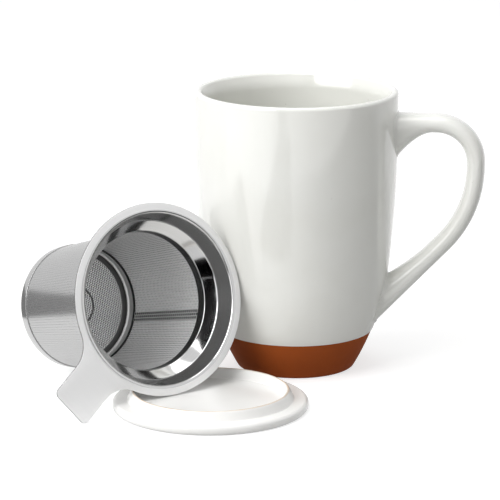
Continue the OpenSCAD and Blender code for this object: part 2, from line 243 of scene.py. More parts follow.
class Recipe(Sheet):
    """A material that is being written."""

    smallest_fleck = 0.3
    fleck_core = 0.45

    def __init__(self, name: str) -> None:
        """Makes an empty material with its output node.

        Args:
            name: The material's name.
        """
        self.material = bpy.data.materials.new(name)
        self.material.use_nodes = True
        super().__init__(self.material.node_tree)
        self.tree.nodes.clear()
        self.output = self.add("ShaderNodeOutputMaterial")

    def place(self, offset: Sequence[float] = (0, 0, 0), scale: Sequence[float] = (1, 1, 1)) -> Socket:
        """Object coordinates, moved and then stretched.

        Args:
            offset: The place that becomes their origin.
            scale: What each axis is multiplied by.

        Returns:
            The coordinates.
        """
        source = self.add("ShaderNodeTexCoord").outputs["Object"]
        moved = self.vectors("ADD", source, tuple(-v for v in offset))
        return self.vectors("MULTIPLY", moved, tuple(scale))

    def wrap(self, scale: Sequence[float]) -> Socket:
        """The piece's own UV map, which runs round and along it in metres, stretched."""
        source = self.add("ShaderNodeUVMap", uv_map=WRAP_MAP).outputs["UV"]
        return self.vectors("MULTIPLY", source, tuple(scale))

    def noise(self, noise: Noise, vector: Socket | None = None) -> Signal:
        """Adds a noise texture.

        Args:
            noise: Its scale, detail and roughness.
            vector: Where it is read, if not at the object coordinates.

        Returns:
            Its value, from 0 to 1.
        """
        inputs = dict(zip(("Scale", "Detail", "Roughness"), noise))
        inputs["Vector"] = self.place() if vector is None else vector
        return Signal(self, self.add("ShaderNodeTexNoise", inputs).outputs["Fac"])

    def mix(self, factor: Feed, first: Feed, second: Feed) -> Socket:
        """Mix of two colours."""
        inputs = {0: factor, 6: rgba(first), 7: rgba(second)}
        return self.add("ShaderNodeMix", inputs, data_type="RGBA").outputs[2]

    def spotted(self, ground: Feed, colour: Colour, flecks: Flecks) -> Socket:
        """Scatters flecks over a colour.

        Args:
            ground: The colour that they lie on.
            colour: Their own colour.
            flecks: How they are scattered.

        Returns:
            The spotted colour.
        """
        cells = self.add("ShaderNodeTexVoronoi", {"Vector": self.place(), "Scale": 1 / flecks.spacing})
        chance, girth, _ = self.split(cells.outputs["Color"])
        share_of_largest = girth * (1 - self.smallest_fleck) + self.smallest_fleck
        reach = share_of_largest * (flecks.radius / flecks.spacing)
        near = (Signal(self, cells.outputs["Distance"]) / reach).ramp(1.0, self.fleck_core)
        spots = near * chance.apply("LESS_THAN", flecks.share)
        return self.mix(spots * flecks.strength, ground, colour)

    def bump(self, *layers: tuple[Signal, float]) -> Socket:
        """Lays bumps over each other.

        Args:
            *layers: Height signals, each with its depth in metres.

        Returns:
            The surface normal.
        """
        normal = None
        for height, depth in layers:
            inputs = {"Height": height, "Distance": depth, "Strength": 1.0}
            if normal is not None:
                inputs["Normal"] = normal
            normal = self.add("ShaderNodeBump", inputs).outputs["Normal"]
        return normal

    def surface(self, shader: bpy.types.Node) -> Material:
        """Puts a shader on the output and returns the material."""
        self.feed(self.output.inputs["Surface"], shader.outputs[0])
        return self.material

    def principled(self, inputs: dict) -> Material:
        """Puts one Principled shader on the output and returns the material."""
        return self.surface(self.add("ShaderNodeBsdfPrincipled", inputs))


# ---------------------------------------------------------------- finishes


@dataclass(frozen=True)
class Glaze:
    """Glossy pale glaze with small dark flecks."""

    name: str
    body: Colour = (0.840, 0.843, 0.806)
    cloud: Colour = (0.815, 0.816, 0.774)
    fleck: Colour = (0.42, 0.40, 0.36)
    flecks: Flecks = Flecks(5.5 * MM, 0.34 * MM, 0.55, 0.55)
    roughness: float = 0.09
    uneven: float = 0.05
    ior: float = 1.52
    coat: float = 0.35
    coat_roughness: float = 0.03
    ripple: float = 0.02 * MM
    cloud_noise: Noise = Noise(30.0, 3.0)
    cloud_span: Point = (0.35, 0.7)
    rough_noise: Noise = Noise(90.0)
    ripple_noise: Noise = Noise(140.0, 1.0)
    # The glaze breaks to a warmer line where it runs thin, at this distance from
    # the axis and from this height up. Zero leaves the line out.
    break_axis: Point = (0.0, 0.0)
    break_r: float = 0.0
    break_w: float = 0.5 * MM
    break_core: float = 0.2
    break_from: float = 0.0
    break_rise: float = 0.4 * MM
    break_colour: Colour = (0.62, 0.47, 0.33)
    break_noise: Noise = Noise(160.0)
    break_strength: Point = (0.9, 0.35)

    def break_line(self, recipe: Recipe) -> Signal:
        """Where the glaze breaks.

        Args:
            recipe: The material that is being written.

        Returns:
            How strongly the line shows.
        """
        x, y, z = recipe.split(recipe.place((*self.break_axis, 0.0)))
        radius = (x * x + y * y) ** 0.5
        spread, least = self.break_strength
        uneven = recipe.noise(self.break_noise) * spread + least
        edge = abs(radius - self.break_r).ramp(self.break_w, self.break_core * self.break_w)
        return edge * z.ramp(self.break_from, self.break_from + self.break_rise) * uneven

    def material(self) -> Material:
        """Writes the material.

        Returns:
            The material.
        """
        recipe = Recipe(self.name)
        cloud = recipe.noise(self.cloud_noise).ramp(*self.cloud_span)
        colour = recipe.spotted(recipe.mix(cloud, self.body, self.cloud), self.fleck, self.flecks)
        if self.break_r:
            colour = recipe.mix(self.break_line(recipe), colour, self.break_colour)
        rough = recipe.noise(self.rough_noise) * self.uneven + (self.roughness - self.uneven / 2)
        return recipe.principled(
            {
                "Base Color": colour,
                "Roughness": rough,
                "IOR": self.ior,
                "Coat Weight": self.coat,
                "Coat Roughness": self.coat_roughness,
                "Normal": recipe.bump((recipe.noise(self.ripple_noise), self.ripple)),
            }
        )


@dataclass(frozen=True)
class BareClay:
    """Unglazed red clay with a fine tooth and turning marks."""

    name: str
    body: Colour = (0.365, 0.076, 0.010)
    dark: Colour = (0.270, 0.054, 0.009)
    grit: Colour = (0.46, 0.16, 0.05)
    flecks: Flecks = Flecks(1.6 * MM, 0.16 * MM, 0.5, 0.5)
    roughness: float = 0.68
    uneven: float = 0.15
    ior: float = 1.45
    specular: float = 0.25
    cloud_noise: Noise = Noise(55.0, 4.0)
    cloud_span: Point = (0.3, 0.75)
    cloud_strength: float = 0.6
    tooth_noise: Noise = Noise(900.0, 3.0, 0.6)
    tooth: float = 0.05 * MM
    turning_noise: Noise = Noise(900.0)
    turning_stretch: Triple = (0.02, 0.02, 1.0)
    turning: float = 0.03 * MM

    def material(self) -> Material:
        """Writes the material.

        Returns:
            The material.
        """
        recipe = Recipe(self.name)
        cloud = recipe.noise(self.cloud_noise).ramp(*self.cloud_span)
        tooth = recipe.noise(self.tooth_noise)
        turning = recipe.noise(self.turning_noise, recipe.place(scale=self.turning_stretch))
        ground = recipe.mix(cloud * self.cloud_strength, self.body, self.dark)
        return recipe.principled(
            {
                "Base Color": recipe.spotted(ground, self.grit, self.flecks),
                "Roughness": tooth * self.uneven + self.roughness,
                "IOR": self.ior,
                "Specular IOR Level": self.specular,
                "Normal": recipe.bump((tooth, self.tooth), (turning, self.turning)),
            }
        )


class Grain(Enum):
    """How close the fine lines of a steel surface lie, round it and along it."""

    ROUND = (12.0, 5200.0)
    ALONG = (2600.0, 40.0)
    EVEN = (1400.0, 1400.0)


@dataclass(frozen=True)
class Steel:
    """Stainless steel, from satin to polished.

    The shade is what the lines darken it to, the streaks are how much they change its
    roughness, and the smudge is how much a slow cloud does.
    """

    name: str
    grey: float
    roughness: float
    grain: Grain
    grain_depth: float
    streaks: float
    shade: float = 0.86
    metal: float = 1.0
    line_span: Point = (0.3, 0.7)
    line_strength: float = 0.6
    smudge: float = 0.04
    smudge_noise: Noise = Noise(60.0, 3.0)

    def material(self) -> Material:
        """Writes the material.

        Returns:
            The material.
        """
        recipe = Recipe(self.name)
        lines = recipe.noise(Noise(1.0), recipe.wrap((*self.grain.value, 1.0)))
        smudge = recipe.noise(self.smudge_noise)
        least = self.roughness - 0.5 * self.streaks - 0.5 * self.smudge
        body, darker = (self.grey,) * 3, (self.shade * self.grey,) * 3
        return recipe.principled(
            {
                "Base Color": recipe.mix(lines.ramp(*self.line_span) * self.line_strength, body, darker),
                "Metallic": self.metal,
                "Roughness": lines * self.streaks + smudge * self.smudge + least,
                "Normal": recipe.bump((lines, self.grain_depth)),
            }
        )


# ---------------------------------------------------------------- meshes

BOW_STEPS = 7
ON_AXIS = 1e-7
UNMOVED = Matrix.Identity(4)


def arc(centre: Point, radius: float, start: float, end: float, steps: int) -> list[Point]:
    """Points of an arc, from one angle in degrees to another."""
    angles = (math.radians(start + (end - start) * i / steps) for i in range(steps + 1))
    return [(centre[0] + radius * math.cos(a), centre[1] + radius * math.sin(a)) for a in angles]


def rounded(
    points: Sequence[Point], radii: Sequence[float], steps: int = 6, closed: bool = True
) -> list[Point]:
    """Rounds the corners of an outline.

    Args:
        points: The corners.
        radii: The rounding of each corner, where 0 keeps it sharp.
        steps: Steps along each rounding.
        closed: Whether the last corner joins the first.

    Returns:
        The outline's points.
    """
    out: list[Point] = []
    count = len(points)
    for i, (here, radius) in enumerate(zip(points, radii)):
        if radius <= 0 or (not closed and i in (0, count - 1)):
            out.append(here)
            continue
        corner = Vector(here)
        back = (Vector(points[i - 1]) - corner).normalized()
        ahead = (Vector(points[(i + 1) % count]) - corner).normalized()
        half = back.angle(ahead) / 2
        reach = radius / math.tan(half)
        centre = corner + (back + ahead).normalized() * radius / math.sin(half)
        first, last = corner + back * reach - centre, corner + ahead * reach - centre
        turn = first.angle_signed(last)
        for k in range(steps + 1):
            swung = Matrix.Rotation(-turn * k / steps, 2) @ first
            out.append(tuple(centre + swung))
    return out


def bowed(points: Sequence[Point], before: int, bow: float) -> list[Point]:
    """Bends one side of an outline into a shallow arc.

    Args:
        points: The corners.
        before: Which corner the side runs to.
        bow: How far the arc's middle stands to the left of the side's way.

    Returns:
        The corners, with the arc's inner points between the side's two ends.
    """
    start, end = Vector(points[before - 1]), Vector(points[before])
    way = end - start
    left = Vector((-way.y, way.x)).normalized()
    shares = [k / (BOW_STEPS + 1) for k in range(1, BOW_STEPS + 1)]
    between = [tuple(start + way * t + left * bow * 4 * t * (1 - t)) for t in shares]
    return [*points[:before], *between, *points[before:]]


def soft_corner(corner: Point, slope: float, reach: float) -> list[Point]:
    """A soft bend from straight up to a slope.

    Args:
        corner: The corner that it rounds.
        slope: The slope in radians.
        reach: How far before and after the corner it runs.

    Returns:
        The bend's points.
    """
    before = (corner[0], corner[1] - reach)
    after = (corner[0] + reach * math.cos(slope), corner[1] + reach * math.sin(slope))
    radius = reach / math.tan((math.pi / 2 - slope) / 2)
    return rounded([before, corner, after], [0.0, radius, 0.0], closed=False)[1:-1]


def edge_arc(
    centre: Point, radius: float, start: float, end: float, steps: int, side: int = 1
) -> list[tuple[Point, Point]]:
    """Points of an arc, each with the direction out of the plate that it bounds.

    Args:
        centre: The arc's centre.
        radius: Its radius.
        start: Its first angle, in degrees.
        end: Its last angle.
        steps: Steps along it.
        side: 1 where the plate lies inside the arc, and -1 where it lies outside.

    Returns:
        The points, each with its direction.
    """
    spots = arc(centre, radius, start, end, steps)
    return [(p, (side * (p[0] - centre[0]) / radius, side * (p[1] - centre[1]) / radius)) for p in spots]


def shown(name: str, mesh: bpy.types.Mesh) -> Piece:
    """Puts a mesh into the scene.

    Args:
        name: The name that it gets there.
        mesh: The mesh.

    Returns:
        Its object.
    """
    piece = bpy.data.objects.new(name, mesh)
    bpy.context.scene.collection.objects.link(piece)
    return piece


def closed_mesh(name: str, shape: bmesh.types.BMesh, place: Matrix = UNMOVED, crease: float = 40.0) -> Piece:
    """Turns a finished shape into a smooth piece with sharp creases.

    Args:
        name: The piece's name.
        shape: The shape, which is freed.
        place: Where it goes.
        crease: Edges that bend by more than this, in degrees, stay sharp.

    Returns:
        The piece, whose place is in its mesh.
    """
    bmesh.ops.recalc_face_normals(shape, faces=shape.faces)
    mesh = bpy.data.meshes.new(name)
    shape.to_mesh(mesh)
    shape.free()
    mesh.transform(place)
    mesh.shade_smooth()
    mesh.set_sharp_from_angle(angle=math.radians(crease))
    return shown(name, mesh)


def bridge(shape: bmesh.types.BMesh, rings: Sequence[Ring]) -> list[bmesh.types.BMFace]:
    """Joins rings of as many points, each to the next.

    Args:
        shape: The shape that holds them.
        rings: The rings.

    Returns:
        The faces between them, row by row.
    """
    faces = []
    for ring, after in zip(rings, rings[1:]):
        for k in range(len(ring)):
            k2 = (k + 1) % len(ring)
            faces.append(shape.faces.new((ring[k], ring[k2], after[k2], after[k])))
    return faces


def turned(name: str, outline: Sequence[Point], steps: int, place: Matrix = UNMOVED) -> Piece:
    """Turns a closed outline about the Z axis.

    Args:
        name: The piece's name.
        outline: Points (distance from the axis, height). A point on the axis becomes a pole.
        steps: Steps round the axis.
        place: Where the piece goes.

    Returns:
        The piece, with a UV map that runs round it and along its outline in metres.
    """
    shape = bmesh.new()
    wrap = shape.loops.layers.uv.new(WRAP_MAP)
    girth = 2 * math.pi * max(r for r, _ in outline)
    along = [0.0]
    rings: list[Ring] = []
    for i, (r, z) in enumerate(outline):
        along.append(along[-1] + math.dist(outline[i], outline[(i + 1) % len(outline)]))
        if r < ON_AXIS:
            rings.append([shape.verts.new((0, 0, z))] * steps)
        else:
            angles = (2 * math.pi * k / steps for k in range(steps))
            rings.append([shape.verts.new((r * math.cos(a), r * math.sin(a), z)) for a in angles])
    for i, ring in enumerate(rings):
        after = rings[(i + 1) % len(rings)]
        if ring[0] is ring[1] and after[0] is after[1]:
            continue
        for k in range(steps):
            k2 = (k + 1) % steps
            corners = [(ring[k], k, i), (ring[k2], k + 1, i), (after[k2], k + 1, i + 1), (after[k], k, i + 1)]
            kept = [c for n, c in enumerate(corners) if c[0] is not corners[n - 1][0]]
            face = shape.faces.new([c[0] for c in kept])
            for loop, (_, step, row) in zip(face.loops, kept):
                loop[wrap].uv = (girth * step / steps, along[row])
    return closed_mesh(name, shape, place)


def painted(piece: Piece, finishes: Sequence[Material], zone: Zone) -> Piece:
    """Gives each zone of a piece its own finish.

    Args:
        piece: The piece.
        finishes: The finishes, by the number of their zone.
        zone: The number of the zone that a face is in.

    Returns:
        The piece.
    """
    for finish in finishes:
        piece.data.materials.append(finish)
    for face in piece.data.polygons:
        face.material_index = zone(face)
    return piece


def dress(piece: Piece, body: str, nodes: Sequence[str], finish: Material | None = None) -> None:
    """Hands a finished piece over.

    Args:
        piece: The piece.
        body: The body that it rides on.
        nodes: The solids that it stands for.
        finish: Its finish, unless it is painted already.
    """
    if finish:
        piece.data.materials.append(finish)
    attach(piece, body)
    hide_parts(*nodes)
    count = sum(len(face.vertices) - 2 for face in piece.data.polygons)
    LOG.info("%-20s %7d triangles on %s", piece.name, count, body)


# ---------------------------------------------------------------- the mug


class Station(NamedTuple):
    """One ring of the strap, in the handle's plane, where a vector is (x, z)."""

    centre: Vector
    outward: Vector
    spread: float = 0.0
    widen: float = 0.0


@dataclass
class Mug:
    """The tall mug: glazed cup, bare foot and strap handle."""

    outer_d: float = 84 * MM
    height: float = 117 * MM
    wall: float = 4.7 * MM
    lip_round: float = 1.5 * MM
    mouth_slope: float = 62.0
    mouth_bend: float = 2.2 * MM
    straight: float = 17 * MM
    turn_h: float = 42 * MM
    draw_r: float = 500 * MM
    foot_d: float = 49 * MM
    foot_round: float = 2 * MM
    foot_ring_w: float = 5 * MM
    foot_recess: float = 1.2 * MM
    recess_rounds: Point = (0.4 * MM, 0.6 * MM)
    # Where the level faces have points, outside and inside the edge of the recess.
    recess_stops: Point = (2 * MM, 6 * MM)
    floor_h: float = 8 * MM
    floor_round: float = 14 * MM
    # The glaze ends in a soft bead, which stands out a little and then draws in.
    glaze_h: float = 16 * MM
    glaze_step: float = 0.3 * MM
    bead: float = 0.55 * MM
    bead_out: float = 0.02 * MM
    bead_in: float = 0.08 * MM
    # How high above the glaze's edge the bead dips in, as a share of its height.
    bead_dip: float = 0.3
    clay_skin: float = 2.6 * MM
    cup_h: float = 3.6 * MM
    # The cavity's glaze is painted shade, a darker copy of the glaze, from this far inside the outer wall.
    cavity_shade_depth: float = 2.8 * MM
    steps: int = 256

    handle_reach: float = 36 * MM
    handle_drop: float = 9 * MM
    strap_t: float = 7.6 * MM
    strap_w: float = 13 * MM
    strap_square: float = 0.85
    upper_bend_r: float = 20 * MM
    grip: float = 2 * MM
    long_bend_r: float = 50 * MM
    run_slope: float = 46.0
    upper_spread: float = 10.2 * MM
    upper_root: float = 14 * MM
    lower_spread: float = 6 * MM
    lower_root: float = 30 * MM
    root_widen: float = 1.8 * MM
    root_power: float = 1.7
    handle_turn: float = -6.0
    root_fillet: float = 1.0 * MM
    ring_gap: float = 0.45 * MM
    upper_rings: int = 40
    grip_rings: int = 8
    long_rings: int = 44
    sides: int = 48

    glaze: Glaze = Glaze("speckled_glaze")
    # A darker copy of the glaze, painted shade in the cup's cavity.
    cavity_shade_glaze: Glaze = Glaze("cavity_shade_glaze", (0.785, 0.788, 0.745), (0.760, 0.762, 0.720))
    clay: BareClay = BareClay("bare_clay")

    def __post_init__(self) -> None:
        """Works out the two arcs of the wall, which meet with one slope."""
        self.r = self.outer_d / 2
        self.straight_from = self.height - self.straight
        self.draw_x = self.r - self.draw_r
        self.slope = math.asin((self.straight_from - self.turn_h) / self.draw_r)
        turn_r = self.draw_x + self.draw_r * math.cos(self.slope)
        inset = turn_r - self.foot_d / 2
        self.base_r = (inset**2 + self.turn_h**2) / (
            2 * (inset * math.cos(self.slope) - self.turn_h * math.sin(self.slope))
        )
        self.base_x = turn_r - self.base_r * math.cos(self.slope)
        self.base_z = self.turn_h + self.base_r * math.sin(self.slope)

    def wall_r(self, z: float, depth: float = 0.0) -> float:
        """Radius of a surface that follows the outer wall.

        Args:
            z: The height.
            depth: How far inside the outer wall the surface lies.

        Returns:
            Its radius at that height.
        """
        if z >= self.straight_from:
            return self.r - depth
        if z >= self.straight_from - (self.draw_r - depth) * math.sin(self.slope):
            return self.draw_x + math.sqrt((self.draw_r - depth) ** 2 - (self.straight_from - z) ** 2)
        return self.base_x + math.sqrt((self.base_r - depth) ** 2 - (self.base_z - z) ** 2)

    def draw_arc(self, depth: float) -> list[Point]:
        """The gentle draw, from top to bottom."""
        return arc((self.draw_x, self.straight_from), self.draw_r - depth, 0, -math.degrees(self.slope), 24)

    def base_arc(self, depth: float, start: float, end: float) -> list[Point]:
        """The base's arc between two angles."""
        return arc((self.base_x, self.base_z), self.base_r - depth, start, end, 28)

    def base_angle(self, z: float, depth: float) -> float:
        """Angle on the base's arc at height z."""
        return -math.degrees(math.asin((self.base_z - z) / (self.base_r - depth)))

    def round_arc(self, depth: float, low: float, radius: float) -> list[Point]:
        """Rounding between a level plane and the base's arc.

        Args:
            depth: How far inside the outer wall the base's arc lies.
            low: The plane's height.
            radius: The rounding.

        Returns:
            Its points, from the plane up.
        """
        angle = -math.asin((self.base_z - low - radius) / (self.base_r - depth - radius))
        centre = (self.base_x + (self.base_r - depth - radius) * math.cos(angle), low + radius)
        return arc(centre, radius, -90, math.degrees(angle), 14)

    def cup_face(self) -> list[Point]:
        """Face between the glazed cup and the bare clay, from the top down."""
        depth = self.clay_skin
        return self.base_arc(depth, self.base_angle(self.glaze_h, depth), self.base_angle(self.cup_h, depth))

    def build_cup(self) -> Piece:
        """Turns the glazed cup, whose lower edge is a soft bead of glaze.

        Returns:
            The cup, with a darker copy of its glaze in the cavity as painted shade.
        """
        lip, slope = self.lip_round, math.radians(self.mouth_slope)
        flare_x = self.r - lip * (1 + math.sin(slope))
        mouth_z = self.height - lip * (1 - math.cos(slope)) - (flare_x - self.r + self.wall) * math.tan(slope)
        top = -math.degrees(self.slope)
        bead_r = self.wall_r(self.glaze_h)
        cavity = self.round_arc(self.wall, self.floor_h, self.floor_round)
        outline = (
            arc((self.r - lip, self.height - lip), lip, 90 + self.mouth_slope, 0, 24)
            + self.draw_arc(0)
            + self.base_arc(0, top, self.base_angle(self.glaze_h + 2 * self.bead, 0))[1:]
            + [(bead_r + self.bead_out, self.glaze_h + self.bead)]
            + [(bead_r - self.bead_in, self.glaze_h + self.bead_dip * self.bead)]
            + [(self.wall_r(self.glaze_h, self.glaze_step), self.glaze_h)]
            + self.cup_face()
            + [(0.0, self.cup_h), (0.0, self.floor_h)]
            + cavity
            + self.base_arc(self.wall, self.base_angle(cavity[-1][1], self.wall), top)[1:]
            + list(reversed(self.draw_arc(self.wall)))[1:]
            + soft_corner((self.r - self.wall, mouth_z), slope, self.mouth_bend)
        )
        cup = turned("glazed_cup", outline, self.steps)
        # The cavity gets the darker glaze, as painted shade.
        return painted(cup, [self.glaze.material(), self.cavity_shade_glaze.material()], self.glaze_zone)

    def glaze_zone(self, face: bpy.types.MeshPolygon) -> int:
        """0 for a face of the cup's outside, and 1 for one of its cavity, which gets the painted shade."""
        x, y, z = face.center
        return int(z > self.floor_h - MM and math.hypot(x, y) < self.wall_r(z, self.cavity_shade_depth))

    def build_foot(self) -> Piece:
        """Turns the bare clay foot.

        Returns:
            The foot.
        """
        edge = self.round_arc(self.glaze_step, 0, self.foot_round)
        inner = edge[0][0] - self.foot_ring_w
        lowest = self.base_angle(edge[-1][1], self.glaze_step)
        recess = [
            (inner + self.recess_stops[0], 0.0),
            (inner, 0.0),
            (inner - self.foot_recess, self.foot_recess),
            (inner - self.recess_stops[1], self.foot_recess),
        ]
        outline = (
            self.base_arc(self.glaze_step, self.base_angle(self.glaze_h, self.glaze_step), lowest)
            + list(reversed(edge))[1:]
            + rounded(recess, [0.0, *self.recess_rounds, 0.0], 5, closed=False)
            + [(0.0, self.foot_recess), (0.0, self.cup_h)]
            + list(reversed(self.cup_face()))
        )
        return turned("bare_foot", outline, self.steps)

    def root(self, far: float, most: float, length: float) -> Point:
        """How a root of the handle grows towards the wall.

        Args:
            far: Distance from the wall.
            most: The spread of the strap's inner side at the wall.
            length: How far from the wall the root begins.

        Returns:
            The spread there, and how much the strap widens to each side.
        """
        share = max(0.0, 1 - max(far, 0.0) / length) ** self.root_power
        return most * share, self.root_widen * share

    def stations(self) -> list[Station]:
        """Where the strap's rings lie: along its top, round two bends and down to the wall.

        Returns:
            The rings, from the upper root to the lower one.
        """
        half, inside = self.strap_t / 2, self.wall / 2
        line_z = self.height - self.handle_drop - half
        line_x = self.r + self.handle_reach - half
        upper_r, long_r = self.upper_bend_r - half, self.long_bend_r - half
        upper = Vector((line_x - upper_r, line_z - upper_r))
        low = Vector((line_x - long_r, upper.y - self.grip))
        bend, slope = math.radians(90 - self.run_slope), math.radians(self.run_slope)
        run_out = Vector((math.cos(bend), -math.sin(bend)))
        run_start = low + long_r * run_out
        way = Vector((-math.cos(slope), -math.sin(slope)))
        run = 0.0
        for _ in range(8):
            run = (run_start.x - self.wall_r(run_start.y + way.y * run)) / math.cos(slope)
        wall_x = self.wall_r(line_z)

        out: list[Station] = []
        top_len = upper.x - wall_x + inside
        count = int(top_len / self.ring_gap)
        for i in range(count):
            x = wall_x - inside + top_len * i / count
            root = self.root(x - wall_x, self.upper_spread, self.upper_root)
            out.append(Station(Vector((x, line_z)), Vector((0, 1)), *root))
        for i in range(self.upper_rings):
            a = math.radians(90) * i / self.upper_rings
            outward = Vector((math.sin(a), math.cos(a)))
            out.append(Station(upper + upper_r * outward, outward))
        for i in range(self.grip_rings):
            centre = Vector((line_x, upper.y - self.grip * i / self.grip_rings))
            out.append(Station(centre, Vector((1, 0))))
        for i in range(self.long_rings):
            a = bend * i / self.long_rings
            outward = Vector((math.cos(a), -math.sin(a)))
            out.append(Station(low + long_r * outward, outward))
        run_len = run + 3 * inside
        count = int(run_len / self.ring_gap)
        for i in range(count + 1):
            far = run - run_len * i / count
            root = self.root(far, self.lower_spread, self.lower_root)
            out.append(Station(run_start + way * (run - far), run_out, *root))
        return out

    def strap_point(self, station: Station, step: int) -> Vector:
        """One point of the strap's section, pushed out where a fillet meets the wall.

        Args:
            station: The ring that it is on.
            step: Its number round the ring.

        Returns:
            The point, in a handle that runs along +X.
        """
        a = 2 * math.pi * step / self.sides
        inner = 0.0 if math.sin(a) > 0 else station.spread
        across = (self.strap_w / 2 + station.widen) * self.squarish(math.cos(a))
        reach = (self.strap_t / 2 + inner) * self.squarish(math.sin(a))
        flat = station.centre + station.outward * reach
        point = Vector((flat.x, across, flat.y))
        push = self.fillet(math.hypot(point.x, point.y) - self.wall_r(point.z))
        if push:
            side = Vector((across, reach)).normalized()
            outward = Vector((station.outward.x, 0, station.outward.y))
            point += push * (side.x * Vector((0, 1, 0)) + side.y * outward)
        return point

    def squarish(self, value: float) -> float:
        """Shapes the strap's section between an ellipse and a rounded rectangle."""
        return math.copysign(abs(value) ** self.strap_square, value)

    def fillet(self, gap: float) -> float:
        """Profile of the fillet between the strap and the wall.

        Args:
            gap: Distance from the wall.

        Returns:
            How far the fillet stands out there.
        """
        if gap >= self.root_fillet:
            return 0.0
        inward = self.root_fillet - max(gap, 0.0)
        return self.root_fillet - math.sqrt(self.root_fillet**2 - inward**2)

    def build_handle(self) -> Piece:
        """Sweeps the strap, and flares it softly where it meets the wall.

        Returns:
            The handle.
        """
        shape = bmesh.new()
        turn = Matrix.Rotation(math.radians(self.handle_turn), 4, "Z")
        rings: list[Ring] = []
        for station in self.stations():
            points = (self.strap_point(station, step) for step in range(self.sides))
            rings.append([shape.verts.new(turn @ point) for point in points])
        bridge(shape, rings)
        shape.faces.new(rings[0])
        shape.faces.new(rings[-1])
        return closed_mesh("strap_handle", shape, crease=60.0)

    def build(self) -> None:
        """Makes and dresses the mug's pieces."""
        cup = self.build_cup()
        dress(cup, "mug", ["mug_shell"])
        dress(self.build_handle(), "mug", ["mug_handle"], cup.data.materials[0])
        dress(self.build_foot(), "mug", ["clay_foot"], self.clay.material())


# ---------------------------------------------------------------- pierced sheet

OUTER_FACES = "outer"
BORE_FACES = "bore"
SOCKET_KINDS = {
    bpy.types.Object: "NodeSocketObject",
    bpy.types.Material: "NodeSocketMaterial",
    int: "NodeSocketInt",
    float: "NodeSocketFloat",
}


class Wrap(Enum):
    """How a field of pierced cells is laid out."""

    ROLLED = "rolled to a cone"
    FLAT = "flat disc"


